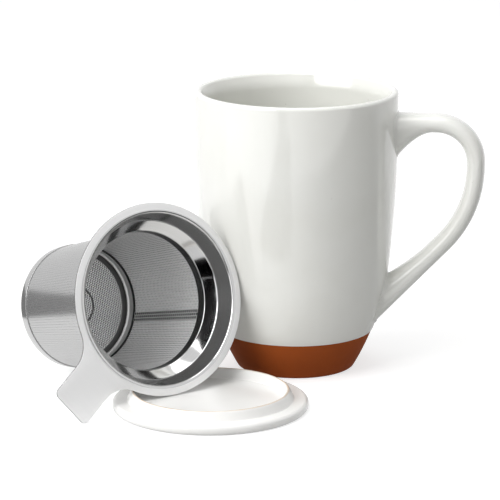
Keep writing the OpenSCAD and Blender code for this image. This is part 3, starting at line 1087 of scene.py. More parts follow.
@dataclass(frozen=True)
class HoleField:
    """One field of pierced cells, made by a tree of geometry nodes.

    Rows of oblong cells lie like bricks. Each cell is a frame round a hole with six
    sides, with both faces and the wall of the hole. A rolled field starts at a radius,
    a height and a turn, and a flat one keeps the cells within its reach of the axis.
    """

    name: str
    wrap: Wrap
    columns: int
    rows: int
    pitch: float
    row_h: float
    outer_hole_r: float
    inner_hole_r: float
    sheet: float
    start_r: float = 0.0
    start_z: float = 0.0
    flare: float = 0.0
    start_turn: float = 0.0
    row_turn: float = 0.0
    reach: float = 0.0
    weld_gap: float = 0.002
    crease: float = 35.0

    def cell(self) -> Piece:
        """Makes one cell, a unit wide, a unit high and a unit thick.

        Returns:
            The cell, with its outer faces and its hole's wall marked.
        """
        shape = bmesh.new()
        frame_points = [(0, -0.5), (0.5, -0.5), (0.5, 0.5), (0, 0.5), (-0.5, 0.5), (-0.5, -0.5)]
        sides = len(frame_points)
        angles = [math.radians(-90 + 60 * k) for k in range(sides)]
        low_out, top_out = ([shape.verts.new((*p, z)) for p in frame_points] for z in (0, 1))
        low_in, top_in = (
            [shape.verts.new((r * math.cos(a) / self.pitch, r * math.sin(a) / self.row_h, z)) for a in angles]
            for z, r in ((0, self.inner_hole_r), (1, self.outer_hole_r))
        )
        for k in range(sides):
            k2 = (k + 1) % sides
            shape.faces.new((top_in[k], top_out[k], top_out[k2], top_in[k2]))
            shape.faces.new((low_in[k2], low_out[k2], low_out[k], low_in[k]))
            shape.faces.new((top_in[k], top_in[k2], low_in[k2], low_in[k]))
        mesh = bpy.data.meshes.new(self.name + "_cell")
        shape.to_mesh(mesh)
        shape.free()
        for name, first in ((OUTER_FACES, 0), (BORE_FACES, 2)):
            marks = mesh.attributes.new(name, "BOOLEAN", "FACE")
            for k in range(sides):
                marks.data[3 * k + first].value = True
        return shown(self.name + "_cell", mesh)

    def tree(self, values: dict[str, object]) -> tuple[bpy.types.NodeTree, dict[str, str]]:
        """Writes the tree.

        Args:
            values: What its named inputs will be given, which says what kind each is.

        Returns:
            The tree, and the identifier of each named input.
        """
        tree = bpy.data.node_groups.new(self.name, "GeometryNodeTree")
        names = {}
        for name, value in values.items():
            socket = tree.interface.new_socket(name, in_out="INPUT", socket_type=SOCKET_KINDS[type(value)])
            names[name] = socket.identifier
        tree.interface.new_socket("Geometry", in_out="OUTPUT", socket_type="NodeSocketGeometry")
        sheet = Sheet(tree)
        given = sheet.add("NodeGroupInput").outputs
        numbers = [name for name, value in values.items() if isinstance(value, (int, float))]
        size = {name: Signal(sheet, given[name]) for name in numbers}
        index = Signal(sheet, sheet.add("GeometryNodeInputIndex").outputs[0])
        row = (index / size["Columns"]).apply("FLOOR")
        column = index % size["Columns"] + (row % 2.0) * 0.5
        spots = {"Count": size["Columns"] * size["Rows"], "Position": sheet.join(column, row, 0.0)}
        points = sheet.add("GeometryNodePoints", spots)
        cell = sheet.add("GeometryNodeObjectInfo", {"Object": given["Cell"]})
        inputs = {"Points": points.outputs[0], "Instance": cell.outputs["Geometry"]}
        if self.wrap is Wrap.FLAT:
            x, y = self.flat_place(column, row, size)
            inputs["Selection"] = (x * x + y * y).apply("LESS_THAN", size["Reach"] * size["Reach"])
        laid = sheet.add("GeometryNodeInstanceOnPoints", inputs)
        real = sheet.add("GeometryNodeRealizeInstances", {0: laid.outputs[0]})
        welded = sheet.add("GeometryNodeMergeByDistance", {0: real.outputs[0], "Distance": self.weld_gap})
        u, v, w = sheet.split(sheet.add("GeometryNodeInputPosition").outputs[0])
        place = self.rolled_place if self.wrap is Wrap.ROLLED else self.disc_place
        moves = {0: welded.outputs[0], "Position": place(sheet, u, v, w, size)}
        bent = sheet.add("GeometryNodeSetPosition", moves)
        coated = sheet.add("GeometryNodeSetMaterial", {0: bent.outputs[0], "Material": given["Material"]})
        for faces, coat in ((OUTER_FACES, "Outer Material"), (BORE_FACES, "Bore Material")):
            marks = sheet.add("GeometryNodeInputNamedAttribute", {"Name": faces}, data_type="BOOLEAN")
            coats = {0: coated.outputs[0], "Selection": marks.outputs[0], "Material": given[coat]}
            coated = sheet.add("GeometryNodeSetMaterial", coats)
        sheet.add("NodeGroupOutput", {0: coated.outputs[0]})
        return tree, names

    @staticmethod
    def flat_place(u: Signal, v: Signal, size: dict[str, Signal]) -> tuple[Signal, Signal]:
        """Where a point of the field lies on the disc."""
        return (u - size["Columns"] * 0.5) * size["Pitch"], (v - size["Rows"] * 0.5) * size["Row Height"]

    def disc_place(self, sheet: Sheet, u: Signal, v: Signal, w: Signal, size: dict[str, Signal]) -> Socket:
        """Lays the field flat."""
        x, y = self.flat_place(u, v, size)
        return sheet.join(x, y, size["Start Height"] + w * size["Sheet"])

    @staticmethod
    def rolled_place(sheet: Sheet, u: Signal, v: Signal, w: Signal, size: dict[str, Signal]) -> Socket:
        """Rolls the field to a cone, with its rows along the slope.

        Args:
            sheet: The tree that is being filled.
            u: The place along a row, in cells.
            v: The place across the rows, in cells.
            w: 0 on the inner face and 1 on the outer one.
            size: The tree's inputs.

        Returns:
            The position.
        """
        turn = size["Start Turn"] - (v + 0.5) * size["Row Turn"]
        rise = (u + 0.5) * size["Pitch"]
        radius = size["Start Radius"] + rise * size["Flare"] + w * size["Sheet"]
        return sheet.join(
            radius * turn.apply("COSINE"), radius * turn.apply("SINE"), size["Start Height"] + rise
        )

    def build(self, place: Matrix, inner: Material, outer: Material, bore: Material) -> Piece:
        """Runs the tree and keeps its result as a plain mesh.

        Args:
            place: Where the field goes.
            inner: The finish of its inner faces, or lower ones on a disc.
            outer: The finish of its outer faces, or upper ones on a disc.
            bore: The finish of the holes' walls.

        Returns:
            The piece.
        """
        cell = self.cell()
        values = {
            "Cell": cell,
            "Material": inner,
            "Outer Material": outer,
            "Bore Material": bore,
            "Columns": self.columns,
            "Rows": self.rows,
            "Pitch": self.pitch,
            "Row Height": self.row_h,
            "Sheet": self.sheet,
            "Start Radius": self.start_r,
            "Start Height": self.start_z,
            "Flare": self.flare,
            "Start Turn": self.start_turn,
            "Row Turn": self.row_turn,
            "Reach": self.reach,
        }
        tree, names = self.tree(values)
        carrier = shown(self.name + "_carrier", bpy.data.meshes.new(self.name + "_carrier"))
        modifier = carrier.modifiers.new("Holes", "NODES")
        modifier.node_group = tree
        for name, value in values.items():
            modifier[names[name]] = value
        graph = bpy.context.evaluated_depsgraph_get()
        mesh = bpy.data.meshes.new_from_object(carrier.evaluated_get(graph), depsgraph=graph)
        mesh.name = self.name
        carrier.modifiers.remove(modifier)
        bpy.data.objects.remove(carrier)
        bpy.data.objects.remove(cell)
        mesh.transform(place)
        mesh.shade_smooth()
        mesh.set_sharp_from_angle(angle=math.radians(self.crease))
        return shown(self.name, mesh)


# ---------------------------------------------------------------- the infuser


@dataclass
class Infuser:
    """The lift-out infuser: rim with tab, collar and perforated basket.

    In its own frame the rim's top lies at z = 0, the basket hangs down from it, and the
    tab points along +X.
    """

    rim_r: float = 38.7 * MM
    rim_sheet: float = 0.8 * MM
    tab_len: float = 21.6 * MM
    tab_w: float = 18.4 * MM
    tab_round: float = 2.5 * MM
    tab_fillet: float = 12 * MM
    # Where the tab's straight sides have points, inside their outer and inner ends.
    tab_stops: Point = (5 * MM, 4 * MM)
    edge_round: float = 0.22 * MM

    collar_r: float = 35.3 * MM
    collar_sheet: float = 0.6 * MM
    collar_lip: float = 1.1 * MM
    step_depth: float = 7.2 * MM
    step_r: float = 32.2 * MM
    funnel_depth: float = 10.8 * MM
    neck_h: float = 4.2 * MM
    neck_r: float = 28 * MM
    collar_bends: Triple = (1.3 * MM, 1.4 * MM, 0.7 * MM)
    funnel_bow: float = 0.05 * MM
    # The cone between these depths, the second one above the step, is painted darker, as a painted dark
    # reflection.
    cone_from: float = 0.9 * MM
    cone_to: float = 0.5 * MM
    # The neck from this far below the funnel is painted dark, as painted shade.
    neck_from: float = 0.2 * MM

    foot_r: float = 25.7 * MM
    depth: float = 68 * MM
    sheet: float = 0.5 * MM
    lap: float = 3.2 * MM
    hem: float = 4.4 * MM
    hem_gap: float = 0.3 * MM
    skin: float = 0.03 * MM
    trim_round: float = 0.1 * MM
    thin: float = 0.2 * MM
    hole_pitch: float = 1.0 * MM
    hole_row: float = 1.1 * MM
    inner_hole_r: float = 0.33 * MM
    outer_hole_r: float = 0.2 * MM

    floor_pitch: float = 0.98 * MM
    floor_upper_hole_r: float = 0.41 * MM
    floor_lower_hole_r: float = 0.16 * MM
    floor_turn: float = 52.3
    floor_gap: float = 0.3 * MM
    floor_lap: float = 0.7 * MM
    screen_gap: float = 0.1 * MM
    pressed_r: float = 8.2 * MM
    pressed_h: float = 0.3 * MM
    pressed_w: float = 0.84 * MM
    pressed_sink: float = 0.02 * MM

    seam_w: float = 4 * MM
    seam_t: float = 0.4 * MM
    seam_clear: float = 0.05 * MM
    seam_pitch: float = 1.56 * MM
    seam_rows: int = 3
    # Radius of the seam's holes towards the sheet and towards the tea, in pitches.
    seam_holes: Point = (0.1, 0.42)
    seam_turn: float = 123.0

    ring_w: float = 2.6 * MM
    leg_h: float = 6.6 * MM
    leg_t: float = 0.45 * MM
    bead_t: float = 1.3 * MM
    # Heights above the floor: the bead's lower and upper edge, and the leg's foot.
    bead_z: Triple = (0.3 * MM, 1.5 * MM, 1.9 * MM)
    # The groove under the bead: its place inside the sheet and its height above the floor.
    groove_at: Point = (0.6 * MM, 0.05 * MM)
    # Roundings of the ring's section, in millimetres, from its inner lower corner round.
    ring_rounds: tuple[float, ...] = (0.1, 0.1, 0.15, 0.2, 0.3, 0.55, 0.55, 0.1, 0.0, 0.1)
    # Up to where the groove's painted shadow reaches, and from where the leg's painted light does.
    groove_to: float = 0.6 * MM
    leg_from: float = 1.7 * MM
    # A painted shadow along the top of the ring's leg: its height and its thickness.
    shade_line_h: float = 1.1 * MM
    shade_line_t: float = 0.5 * MM
    steps: int = 192
    pressed_steps: int = 96

    rim_steel: Steel = Steel("satin_rim", 0.77, 0.38, Grain.ALONG, 0.002 * MM, 0.04, 0.97)
    # The rim's edge is the rim's own steel painted dark, as painted shade.
    rim_edge_shade: Steel = Steel("rim_edge_shade", 0.20, 0.2, Grain.ALONG, 0.002 * MM, 0.04, 0.9)
    collar_steel: Steel = Steel("polished_collar", 0.60, 0.09, Grain.ROUND, 0.0008 * MM, 0.03)
    # The cone and the neck are the collar's polished steel painted darker: a painted dark reflection on the
    # cone, painted shade in the neck.
    cone_shade_steel: Steel = Steel("collar_cone_painted_dark", 0.28, 0.12, Grain.ROUND, 0.0008 * MM, 0.03)
    neck_shade_steel: Steel = Steel("collar_neck_painted_shade", 0.13, 0.25, Grain.ROUND, 0.003 * MM, 0.10, 0.9)
    # Both faces of the pierced sheet are one steel in two greys: the inner face painted lighter as painted
    # light, the outer one darker as a painted dark reflection.
    wall_inner_lit: Steel = Steel("pierced_sheet", 0.98, 0.30, Grain.EVEN, 0.003 * MM, 0.10, 0.95, 0.35)
    wall_outer_shade: Steel = Steel("pierced_sheet_back_painted_dark", 0.47, 0.24, Grain.EVEN, 0.003 * MM, 0.10, 0.9, 0.9)
    # The holes' walls are painted darker, as painted shade in the holes.
    wall_shade_bores: Steel = Steel("sheet_bores_painted_shade", 0.34, 0.50, Grain.EVEN, 0.0, 0.10, 1.0, 0.5)
    # The top hem under the collar is painted much darker than the foot hem, as painted shade.
    top_hem_shade: Steel = Steel("sheet_hem_painted_shade", 0.18, 0.26, Grain.ROUND, 0.003 * MM, 0.10, 0.9)
    foot_hem: Steel = Steel("foot_hem", 0.50, 0.20, Grain.ROUND, 0.003 * MM, 0.10, 0.9)
    seam_steel: Steel = Steel("seam_sheet", 0.85, 0.40, Grain.EVEN, 0.003 * MM, 0.10, 0.9, 0.5)
    # The disc is painted lighter than plain steel, as painted light on the basket's shaded floor.
    floor_lit_steel: Steel = Steel("pierced_floor", 0.98, 0.30, Grain.EVEN, 0.003 * MM, 0.10, 0.95, 0.35)
    # The disc's margin and pressed circle are painted dark, as painted shade.
    floor_shade_trim: Steel = Steel("dark_edge_painted_shade", 0.13, 0.45, Grain.EVEN, 0.0, 0.10, 1.0, 0.5)
    # Near black: painted shade in the holes of the seam and the disc, in the groove under the ring's bead and
    # along the top of its leg.
    shade_bores: Steel = Steel("bore_walls_painted_shade", 0.012, 0.60, Grain.EVEN, 0.0, 0.10, 1.0, 0.0)
    ring_steel: Steel = Steel("ring_steel", 0.62, 0.16, Grain.ROUND, 0.003 * MM, 0.06)
    # The ring's leg is its own steel painted lighter, as painted light.
    leg_lit_steel: Steel = Steel("ring_leg_painted_light", 0.75, 0.36, Grain.ROUND, 0.003 * MM, 0.08, 0.9, 0.6)

    def __post_init__(self) -> None:
        """Works out the basket's taper and the heights that hang on it."""
        self.foot_in_r = self.foot_r - self.sheet
        widening = self.neck_r + self.collar_sheet - self.foot_in_r
        self.taper = math.atan(widening / (self.depth - self.funnel_depth))
        self.neck_end = -self.funnel_depth - self.neck_h
        self.tab_reach = self.rim_r + self.tab_len
        self.screen_z = -self.depth + self.sheet
        self.floor_top = self.screen_z + self.sheet
        self.leg_top = -self.depth + self.leg_h
        self.place = UNMOVED

    def sheet_r(self, z: float, inside: float = 0.0) -> float:
        """Inner radius of the perforated sheet at height z, or that of a ring inside it."""
        return self.foot_in_r + (z + self.depth) * math.tan(self.taper) - inside / math.cos(self.taper)

    def on_sheet(self, *corners: Point) -> list[Point]:
        """An outline whose corners are given as (distance inside the sheet, height)."""
        return [(self.sheet_r(z, inside), z) for inside, z in corners]

    def trim(self, name: str, corners: Sequence[Point], rounding: float) -> Piece:
        """Turns a thin band with broken edges."""
        return turned(name, rounded(corners, [rounding] * len(corners), 3), self.steps, self.place)

    def rim_outline(self) -> list[tuple[Point, Point]]:
        """Draws the rim with its tab.

        Returns:
            The outline's points, each with its outward direction.
        """
        fillet_y = self.tab_w / 2 + self.tab_fillet
        fillet_x = math.sqrt((self.rim_r + self.tab_fillet) ** 2 - fillet_y**2)
        touch = math.degrees(math.atan2(fillet_y, fillet_x))
        corner = (self.tab_reach - self.tab_round, self.tab_w / 2 - self.tab_round)
        stops = (corner[0] - self.tab_stops[0], fillet_x + self.tab_stops[1])
        side = edge_arc(corner, self.tab_round, 0, 90, 10)
        side += [((x, self.tab_w / 2), (0.0, 1.0)) for x in stops]
        side += edge_arc((fillet_x, fillet_y), self.tab_fillet, -90, touch - 180, 14, -1)
        mirrored = [((x, -y), (nx, -ny)) for (x, y), (nx, ny) in reversed(side)]
        return side + edge_arc((0.0, 0.0), self.rim_r, touch, 360 - touch, 240)[1:-1] + mirrored

    def build_rim(self) -> Piece:
        """Builds the rim plate and its tab, with softly broken edges.

        Returns:
            The rim, whose edge is painted dark, as painted shade.
        """
        shape = bmesh.new()
        wrap = shape.loops.layers.uv.new(WRAP_MAP)
        outline = self.rim_outline()
        edge, sheet = self.edge_round, self.rim_sheet
        turns = [math.radians(a) for a in (0, 22.5, 45, 67.5, 90)]
        upper = [(-edge + edge * math.sin(a), -edge + edge * math.cos(a)) for a in turns]
        lower = [(inset, -sheet - z) for inset, z in reversed(upper)]
        loops: list[Ring] = []
        angles = [math.atan2(y, x) for (x, y), _ in outline]
        hole = [(self.collar_r * math.cos(a), self.collar_r * math.sin(a)) for a in angles]
        for inset, z in upper + lower:
            spots = [(p[0] + inset * n[0], p[1] + inset * n[1], z) for p, n in outline]
            loops.append([shape.verts.new(spot) for spot in spots])
        top, bottom = ([shape.verts.new((*spot, z)) for spot in hole] for z in (0.0, -sheet))
        for face in bridge(shape, [top, *loops, bottom, top]):
            for loop in face.loops:
                loop[wrap].uv = loop.vert.co.xy
        rows, first_edge_row = len(loops) + 2, 3
        rim = closed_mesh("rim_with_tab", shape, self.place, crease=50.0)
        # The edge rows get the painted shade.
        finishes = [self.rim_steel.material(), self.rim_edge_shade.material()]
        edge_rows = range(first_edge_row, rows - 2)
        return painted(rim, finishes, lambda face: int(face.index // len(outline) in edge_rows))

    def collar_zone(self, level: float) -> int:
        """Which finish the collar's inner face has.

        Args:
            level: The height of a row of its faces.

        Returns:
            0 for the polished face, 1 for the cone with its painted dark reflection and 2 for the neck with
            its painted shade.
        """
        if level < -self.funnel_depth - self.neck_from:
            return 2
        return int(-self.step_depth + self.cone_to < level < -self.cone_from)

    def build_collar(self) -> Piece:
        """Turns the deep-drawn collar from one bent sheet.

        Returns:
            The collar.
        """
        inner, sheet = self.collar_r - self.collar_sheet, self.collar_sheet
        corners = [
            (inner + self.collar_lip, sheet),
            (inner, sheet),
            (self.step_r, -self.step_depth),
            (self.neck_r, -self.funnel_depth),
            (self.neck_r - self.neck_h * math.tan(self.taper), self.neck_end),
        ]
        upper_bend, step_bend, funnel_bend = self.collar_bends
        bends = [0.0, upper_bend, step_bend, *[0.0] * BOW_STEPS, funnel_bend, 0.0]
        face = rounded(bowed(corners, 3, self.funnel_bow), bends, 10, closed=False)
        back = []
        for i, point in enumerate(face):
            before, after = face[max(i - 1, 0)], face[min(i + 1, len(face) - 1)]
            way = (Vector(after) - Vector(before)).normalized()
            back.append(tuple(Vector(point) + sheet * Vector((-way.y, way.x))))
        outline = face + list(reversed(back))
        levels = [(here[1] + after[1]) / 2 for here, after in zip(outline, outline[1 : len(face) + 1])]
        zones = [self.collar_zone(level) for level in levels] + [0] * len(back)
        collar = turned("collar_ring", outline, self.steps, self.place)
        # The cone carries a painted dark reflection and the neck painted shade.
        finishes = [steel.material() for steel in (self.collar_steel, self.cone_shade_steel, self.neck_shade_steel)]
        return painted(collar, finishes, lambda face: zones[face.index // self.steps])

    def build_wall(self) -> list[Piece]:
        """Rolls the pierced sheet in two halves, each with half of the holes.

        Returns:
            The halves.
        """
        low, high = -self.depth + self.hem, self.neck_end - self.hem_gap
        columns = round((high - low) / self.hole_pitch)
        pitch = (high - low) / (columns - 0.5)
        rows = 4 * round(2 * math.pi * self.sheet_r((low + high) / 2) / self.hole_row / 4)
        start = low - pitch / 2
        # Inner faces painted lighter, outer faces and hole walls painted darker, as painted light and shade.
        finishes = [steel.material() for steel in (self.wall_inner_lit, self.wall_outer_shade, self.wall_shade_bores)]
        halves = []
        for half, side in enumerate(("left", "right")):
            holes = HoleField(
                f"basket_{side}",
                Wrap.ROLLED,
                columns=columns,
                rows=rows // 2,
                pitch=pitch,
                row_h=self.hole_row,
                outer_hole_r=self.outer_hole_r,
                inner_hole_r=self.inner_hole_r,
                sheet=self.thin,
                start_r=self.sheet_r(start),
                start_z=start,
                flare=math.tan(self.taper),
                start_turn=math.pi * half,
                row_turn=2 * math.pi / rows,
            )
            halves.append(holes.build(self.place, *finishes))
        return halves

    def build_hem(self, name: str, low: float, high: float) -> Piece:
        """Turns a plain hem of the basket, on both sides of its sheet.

        Args:
            name: The piece's name.
            low: Where the hem begins, along the infuser's axis.
            high: Where it ends.

        Returns:
            The hem.
        """
        inside, outside = self.skin, -self.sheet - self.skin
        corners = self.on_sheet((inside, low), (outside, low), (outside, high), (inside, high))
        return self.trim(name, corners, self.trim_round)

    def build_seam(self, finish: Material, bore: Material) -> Piece:
        """Lays the pierced strip that covers the seam inside the basket.

        Args:
            finish: The finish of its faces.
            bore: The finish of its holes' walls.

        Returns:
            The strip.
        """
        low, high = self.leg_top + self.screen_gap, self.neck_end - self.screen_gap
        columns = round((high - low) / self.seam_pitch)
        pitch = (high - low) / (columns + 0.5)
        row_h = self.seam_w / self.seam_rows
        turn = row_h / self.sheet_r((low + high) / 2)
        holes = HoleField(
            "seam_strip",
            Wrap.ROLLED,
            columns=columns,
            rows=self.seam_rows,
            pitch=pitch,
            row_h=row_h,
            outer_hole_r=self.seam_holes[0] * pitch,
            inner_hole_r=self.seam_holes[1] * pitch,
            sheet=self.seam_t - self.seam_clear,
            start_r=self.sheet_r(low, self.seam_t),
            start_z=low,
            flare=math.tan(self.taper),
            start_turn=math.radians(self.seam_turn) + turn * self.seam_rows / 2,
            row_turn=turn,
        )
        return holes.build(self.place, finish, finish, bore)

    def build_screen(self, bore: Material) -> list[Piece]:
        """Lays the pierced disc, its plain margin and its pressed circle.

        Args:
            bore: The finish of its holes' walls.

        Returns:
            The three pieces, of which only the disc has its finish.
        """
        outer = self.sheet_r(self.screen_z, self.sheet) - self.screen_gap
        hole_zone = self.sheet_r(-self.depth) - self.ring_w - self.floor_gap
        row_h = self.floor_pitch * math.sqrt(3) / 2
        half = hole_zone + self.floor_pitch
        columns, rows = (2 * math.ceil(half / gap) for gap in (self.floor_pitch, row_h))
        holes = HoleField(
            "basket_floor",
            Wrap.FLAT,
            columns=columns,
            rows=rows,
            pitch=self.floor_pitch,
            row_h=row_h,
            outer_hole_r=self.floor_upper_hole_r,
            inner_hole_r=self.floor_lower_hole_r,
            sheet=self.sheet,
            start_z=self.screen_z,
            reach=hole_zone + self.floor_lap,
        )
        finish = self.floor_lit_steel.material()
        turned_place = self.place @ Matrix.Rotation(math.radians(self.floor_turn), 4, "Z")
        low, high = self.screen_z - self.skin, self.floor_top + self.skin
        margin = [(hole_zone, low), (outer, low), (outer, high), (hole_zone, high)]
        pressed = []
        for a in (math.radians(15 * k) for k in range(13)):
            height = self.floor_top - self.pressed_sink + self.pressed_h * math.sin(a)
            pressed.append((self.pressed_r + self.pressed_w / 2 * math.cos(a), height))
        return [
            holes.build(turned_place, finish, finish, bore),
            self.trim("floor_margin", margin, self.trim_round),
            turned("pressed_circle", pressed, self.pressed_steps, self.place),
        ]

    def ring_zone(self, level: float) -> int:
        """Which finish the floor's ring has.

        Args:
            level: The height of the lower edge of a row of its faces.

        Returns:
            0 for the bead, 1 for the leg with its painted light and 2 for the groove under the bead with its
            painted shadow.
        """
        if self.screen_z < level < self.floor_top + self.groove_to:
            return 2
        return int(level > self.floor_top + self.leg_from)

    def build_ring(self, bore: Material) -> Piece:
        """Turns the ring that holds the floor: a base, a bead and a leg.

        Args:
            bore: The finish of the groove under the bead, which paints shadow there.

        Returns:
            The ring.
        """
        floor = self.floor_top
        base_in = self.sheet_r(-self.depth) - self.ring_w
        bead_low, bead_high, leg_foot = (floor + z for z in self.bead_z)
        groove_in, groove_up = self.groove_at
        outline = [
            (base_in, -self.depth),
            *self.on_sheet((0.0, -self.depth), (0.0, self.leg_top), (self.leg_t, self.leg_top)),
            *self.on_sheet((self.leg_t, leg_foot), (self.bead_t, bead_high), (self.bead_t, bead_low)),
            (self.sheet_r(floor, groove_in), floor + groove_up),
            (self.sheet_r(self.screen_z, self.sheet), self.screen_z),
            (base_in, self.screen_z),
        ]
        section = rounded(outline, [r * MM for r in self.ring_rounds])
        zones = [self.ring_zone(z) for _, z in section]
        ring = turned("floor_ring", section, self.steps, self.place)
        # The leg gets painted light and the groove painted shadow.
        finishes = [self.ring_steel.material(), self.leg_lit_steel.material(), bore]
        return painted(ring, finishes, lambda face: zones[face.index // self.steps])

    def build_shade_line(self) -> Piece:
        """Turns the dark line along the top of the ring's leg, a painted shadow where the leg meets the
        sheet.

        Returns:
            The line.
        """
        top, gap = self.leg_top, self.screen_gap
        low = top - self.shade_line_h
        line = self.on_sheet((self.shade_line_t, low), (gap, low), (gap, top + gap), (self.shade_line_t, top))
        return self.trim("ring_weld", line, self.trim_round / 2)

    def build(self, place: Matrix) -> None:
        """Makes and dresses the infuser's pieces.

        Args:
            place: Takes the infuser's own frame to its place.
        """
        self.place = place
        body, bore = "infuser", self.shade_bores.material()
        dress(self.build_rim(), body, ["rim_plate"])
        dress(self.build_collar(), body, ["collar"])
        for piece in self.build_wall():
            dress(piece, body, ["basket_wall"])
        # The top hem's finish is painted shade.
        hems = (
            ("basket_top_hem", self.neck_end - self.hem_gap, self.neck_end + self.lap, self.top_hem_shade),
            ("basket_foot_hem", -self.depth, -self.depth + self.hem, self.foot_hem),
        )
        for name, low, high, steel in hems:
            hem = self.build_hem(name, low, high)
            dress(hem, body, ["basket_wall"], steel.material())
        dress(self.build_seam(self.seam_steel.material(), bore), body, ["basket_seam"])
        floor, margin, circle = self.build_screen(bore)
        dress(floor, body, ["bottom_screen"])
        # The margin and the pressed circle carry painted shade.
        trim = self.floor_shade_trim.material()
        for piece in (margin, circle):
            dress(piece, body, ["bottom_screen"], trim)
        dress(self.build_ring(bore), body, ["bottom_ring"])
        # A painted shadow along the top of the ring's leg.
        dress(self.build_shade_line(), body, ["bottom_ring"], bore)


# ---------------------------------------------------------------- the lid


@dataclass
class Lid:
    """The loose lid, upside down: a thick disc with a soft locating ring."""

    r: float = 39.2 * MM
    t: float = 4 * MM
    edge_round: float = 1.8 * MM
    ring_r: float = 31.05 * MM
    ring_w: float = 4.9 * MM
    ring_h: float = 3.8 * MM
    ring_power: float = 0.7
    ring_steps: int = 32
    line_w: float = 1.1 * MM
    # The glaze's line starts at this share of the ring's height.
    line_from: float = 0.9
    steps: int = 224

    def outline(self) -> list[Point]:
        """Draws the lid's section, from the axis round its edge and over its ring.

        Returns:
            The section.
        """
        bump = []
        for i in range(self.ring_steps + 1):
            across = 2 * i / self.ring_steps - 1
            height = self.ring_h * ((1 + math.cos(math.pi * across)) / 2) ** self.ring_power
            bump.append((self.ring_r - across * self.ring_w / 2, self.t + height))
        edge_x = self.r - self.edge_round
        return (
            [(0.0, 0.0)]
            + arc((edge_x, self.edge_round), self.edge_round, -90, 0, 12)
            + arc((edge_x, self.t - self.edge_round), self.edge_round, 0, 90, 12)
            + bump
            + [(0.0, self.t)]
        )

    def build(self, place: Matrix) -> None:
        """Makes and dresses the lid.

        Args:
            place: Takes the lid's own frame to its place.
        """
        # The lid's glaze is written lighter than the mug's, as painted light.
        glaze = Glaze(
            "lid_glaze",
            body=(0.90, 0.894, 0.875),
            cloud=(0.88, 0.875, 0.855),
            flecks=Flecks(5.5 * MM, 0.34 * MM, 0.25, 0.55),
            roughness=0.2,
            coat=0.1,
            break_axis=tuple(place.translation.xy),
            break_r=self.ring_r,
            break_w=self.line_w,
            break_from=self.t + self.line_from * self.ring_h,
        )
        lid = turned("lid_disc", self.outline(), self.steps, place)
        dress(lid, "lid", ["lid_plate", "lid_ring"], glaze.material())


@dataclass
class Layout:
    """Where the lid and the infuser lie, worked out from what each rests on.

    The rim stands next to the mug at a bearing, and its mouth faces along another. The
    lid's ring lies a little before the rim, and touches nothing.
    """

    mug: Mug
    infuser: Infuser
    lid: Lid
    mug_gap: float = 1.7 * MM
    rim_bearing: float = -125.6
    face_turn: float = -55.6
    lid_before_rim: float = 11.2 * MM
    ring_clear: float = 0.8 * MM
    rest_gap: float = 0.3 * MM

    def __post_init__(self) -> None:
        """Leans the infuser on the lid and the table, and puts the lid under its rim."""
        rim_r, rim_sheet = self.infuser.rim_r, self.infuser.rim_sheet
        rest_z = self.lid.t + self.rest_gap
        inset = rim_r - self.infuser.foot_r
        depth = self.infuser.depth - rim_sheet
        self.lean = math.atan2(inset, depth) + math.asin(rest_z / math.hypot(depth, inset))
        sin, cos = math.sin(self.lean), math.cos(self.lean)
        self.rim_z = rest_z + rim_r * cos + rim_sheet * sin
        corner = self.infuser.tab_round
        across, along = self.infuser.tab_w / 2 - corner, self.infuser.tab_reach - corner
        fall = (self.rim_z - rim_sheet * sin) / cos - corner
        self.tab_roll = -math.atan2(across, along) - math.acos(fall / math.hypot(across, along))
        turn, bearing = math.radians(self.face_turn), math.radians(self.rim_bearing)
        facing = Vector((math.cos(turn), math.sin(turn)))
        level = Vector((-facing.y, facing.x))
        near = (self.mug.wall_r(self.rim_z) + self.mug_gap) * Vector((math.cos(bearing), math.sin(bearing)))
        self.rim_at = near - rim_r * level
        low = self.rim_at + (rim_r * sin - rim_sheet * cos) * facing
        chord = math.sqrt(self.lid.ring_r**2 - self.lid_before_rim**2)
        rise = (self.lid.ring_h - self.rest_gap + self.ring_clear) / cos
        rise_at = math.sqrt(2 * rim_r * rise - rise**2)
        self.lid_at = low + self.lid_before_rim * facing + (chord - rise_at) * level

    def infuser_place(self) -> Matrix:
        """Takes the infuser's own frame to its place.

        Returns:
            The place, whose z is out of the infuser's mouth and whose x is along its tab.
        """
        return (
            Matrix.Translation((*self.rim_at, self.rim_z))
            @ Matrix.Rotation(math.radians(self.face_turn), 4, "Z")
            @ Matrix.Rotation(math.pi / 2 - self.lean, 4, "Y")
            @ Matrix.Rotation(self.tab_roll, 4, "Z")
        )

    def lid_place(self) -> Matrix:
        """Takes the lid's own frame to its place."""
        return Matrix.Translation((*self.lid_at, 0.0))


# ---------------------------------------------------------------- the studio

UP = Vector((0, 0, 1))
BLACK = (0.0, 0.0, 0.0)
WHITE = (1.0, 1.0, 1.0)


def seen_from(about: Vector, bearing: float, height: float, distance: float) -> Vector:
    """A place on the viewer's side of a point.

    Args:
        about: The point.
        bearing: How far left of the viewer it lies, in degrees.
        height: How far above the level, in degrees.
        distance: How far from the point.

    Returns:
        The place.
    """
    left, up = math.radians(bearing), math.radians(height)
    way = Vector((-math.sin(left) * math.cos(up), -math.cos(left) * math.cos(up), math.sin(up)))
    return about + distance * way


@dataclass(frozen=True)
class Lamp:
    """A soft box, which hangs at a bearing and a height in degrees round what it lights."""

    name: str
    bearing: float
    height: float
    distance: float
    size: Point
    watts: float

    def hang(self, about: Vector) -> None:
        """Hangs the lamp.

        Args:
            about: What it lights.
        """
        data = bpy.data.lights.new(self.name, "AREA")
        data.shape = "RECTANGLE"
        data.size, data.size_y = self.size
        data.energy = self.watts
        lamp = bpy.data.objects.new(self.name, data)
        lamp.location = seen_from(about, self.bearing, self.height, self.distance)
        lamp.rotation_euler = (about - lamp.location).to_track_quat("-Z", "Y").to_euler()
        lamp.visible_camera = False
        bpy.context.scene.collection.objects.link(lamp)


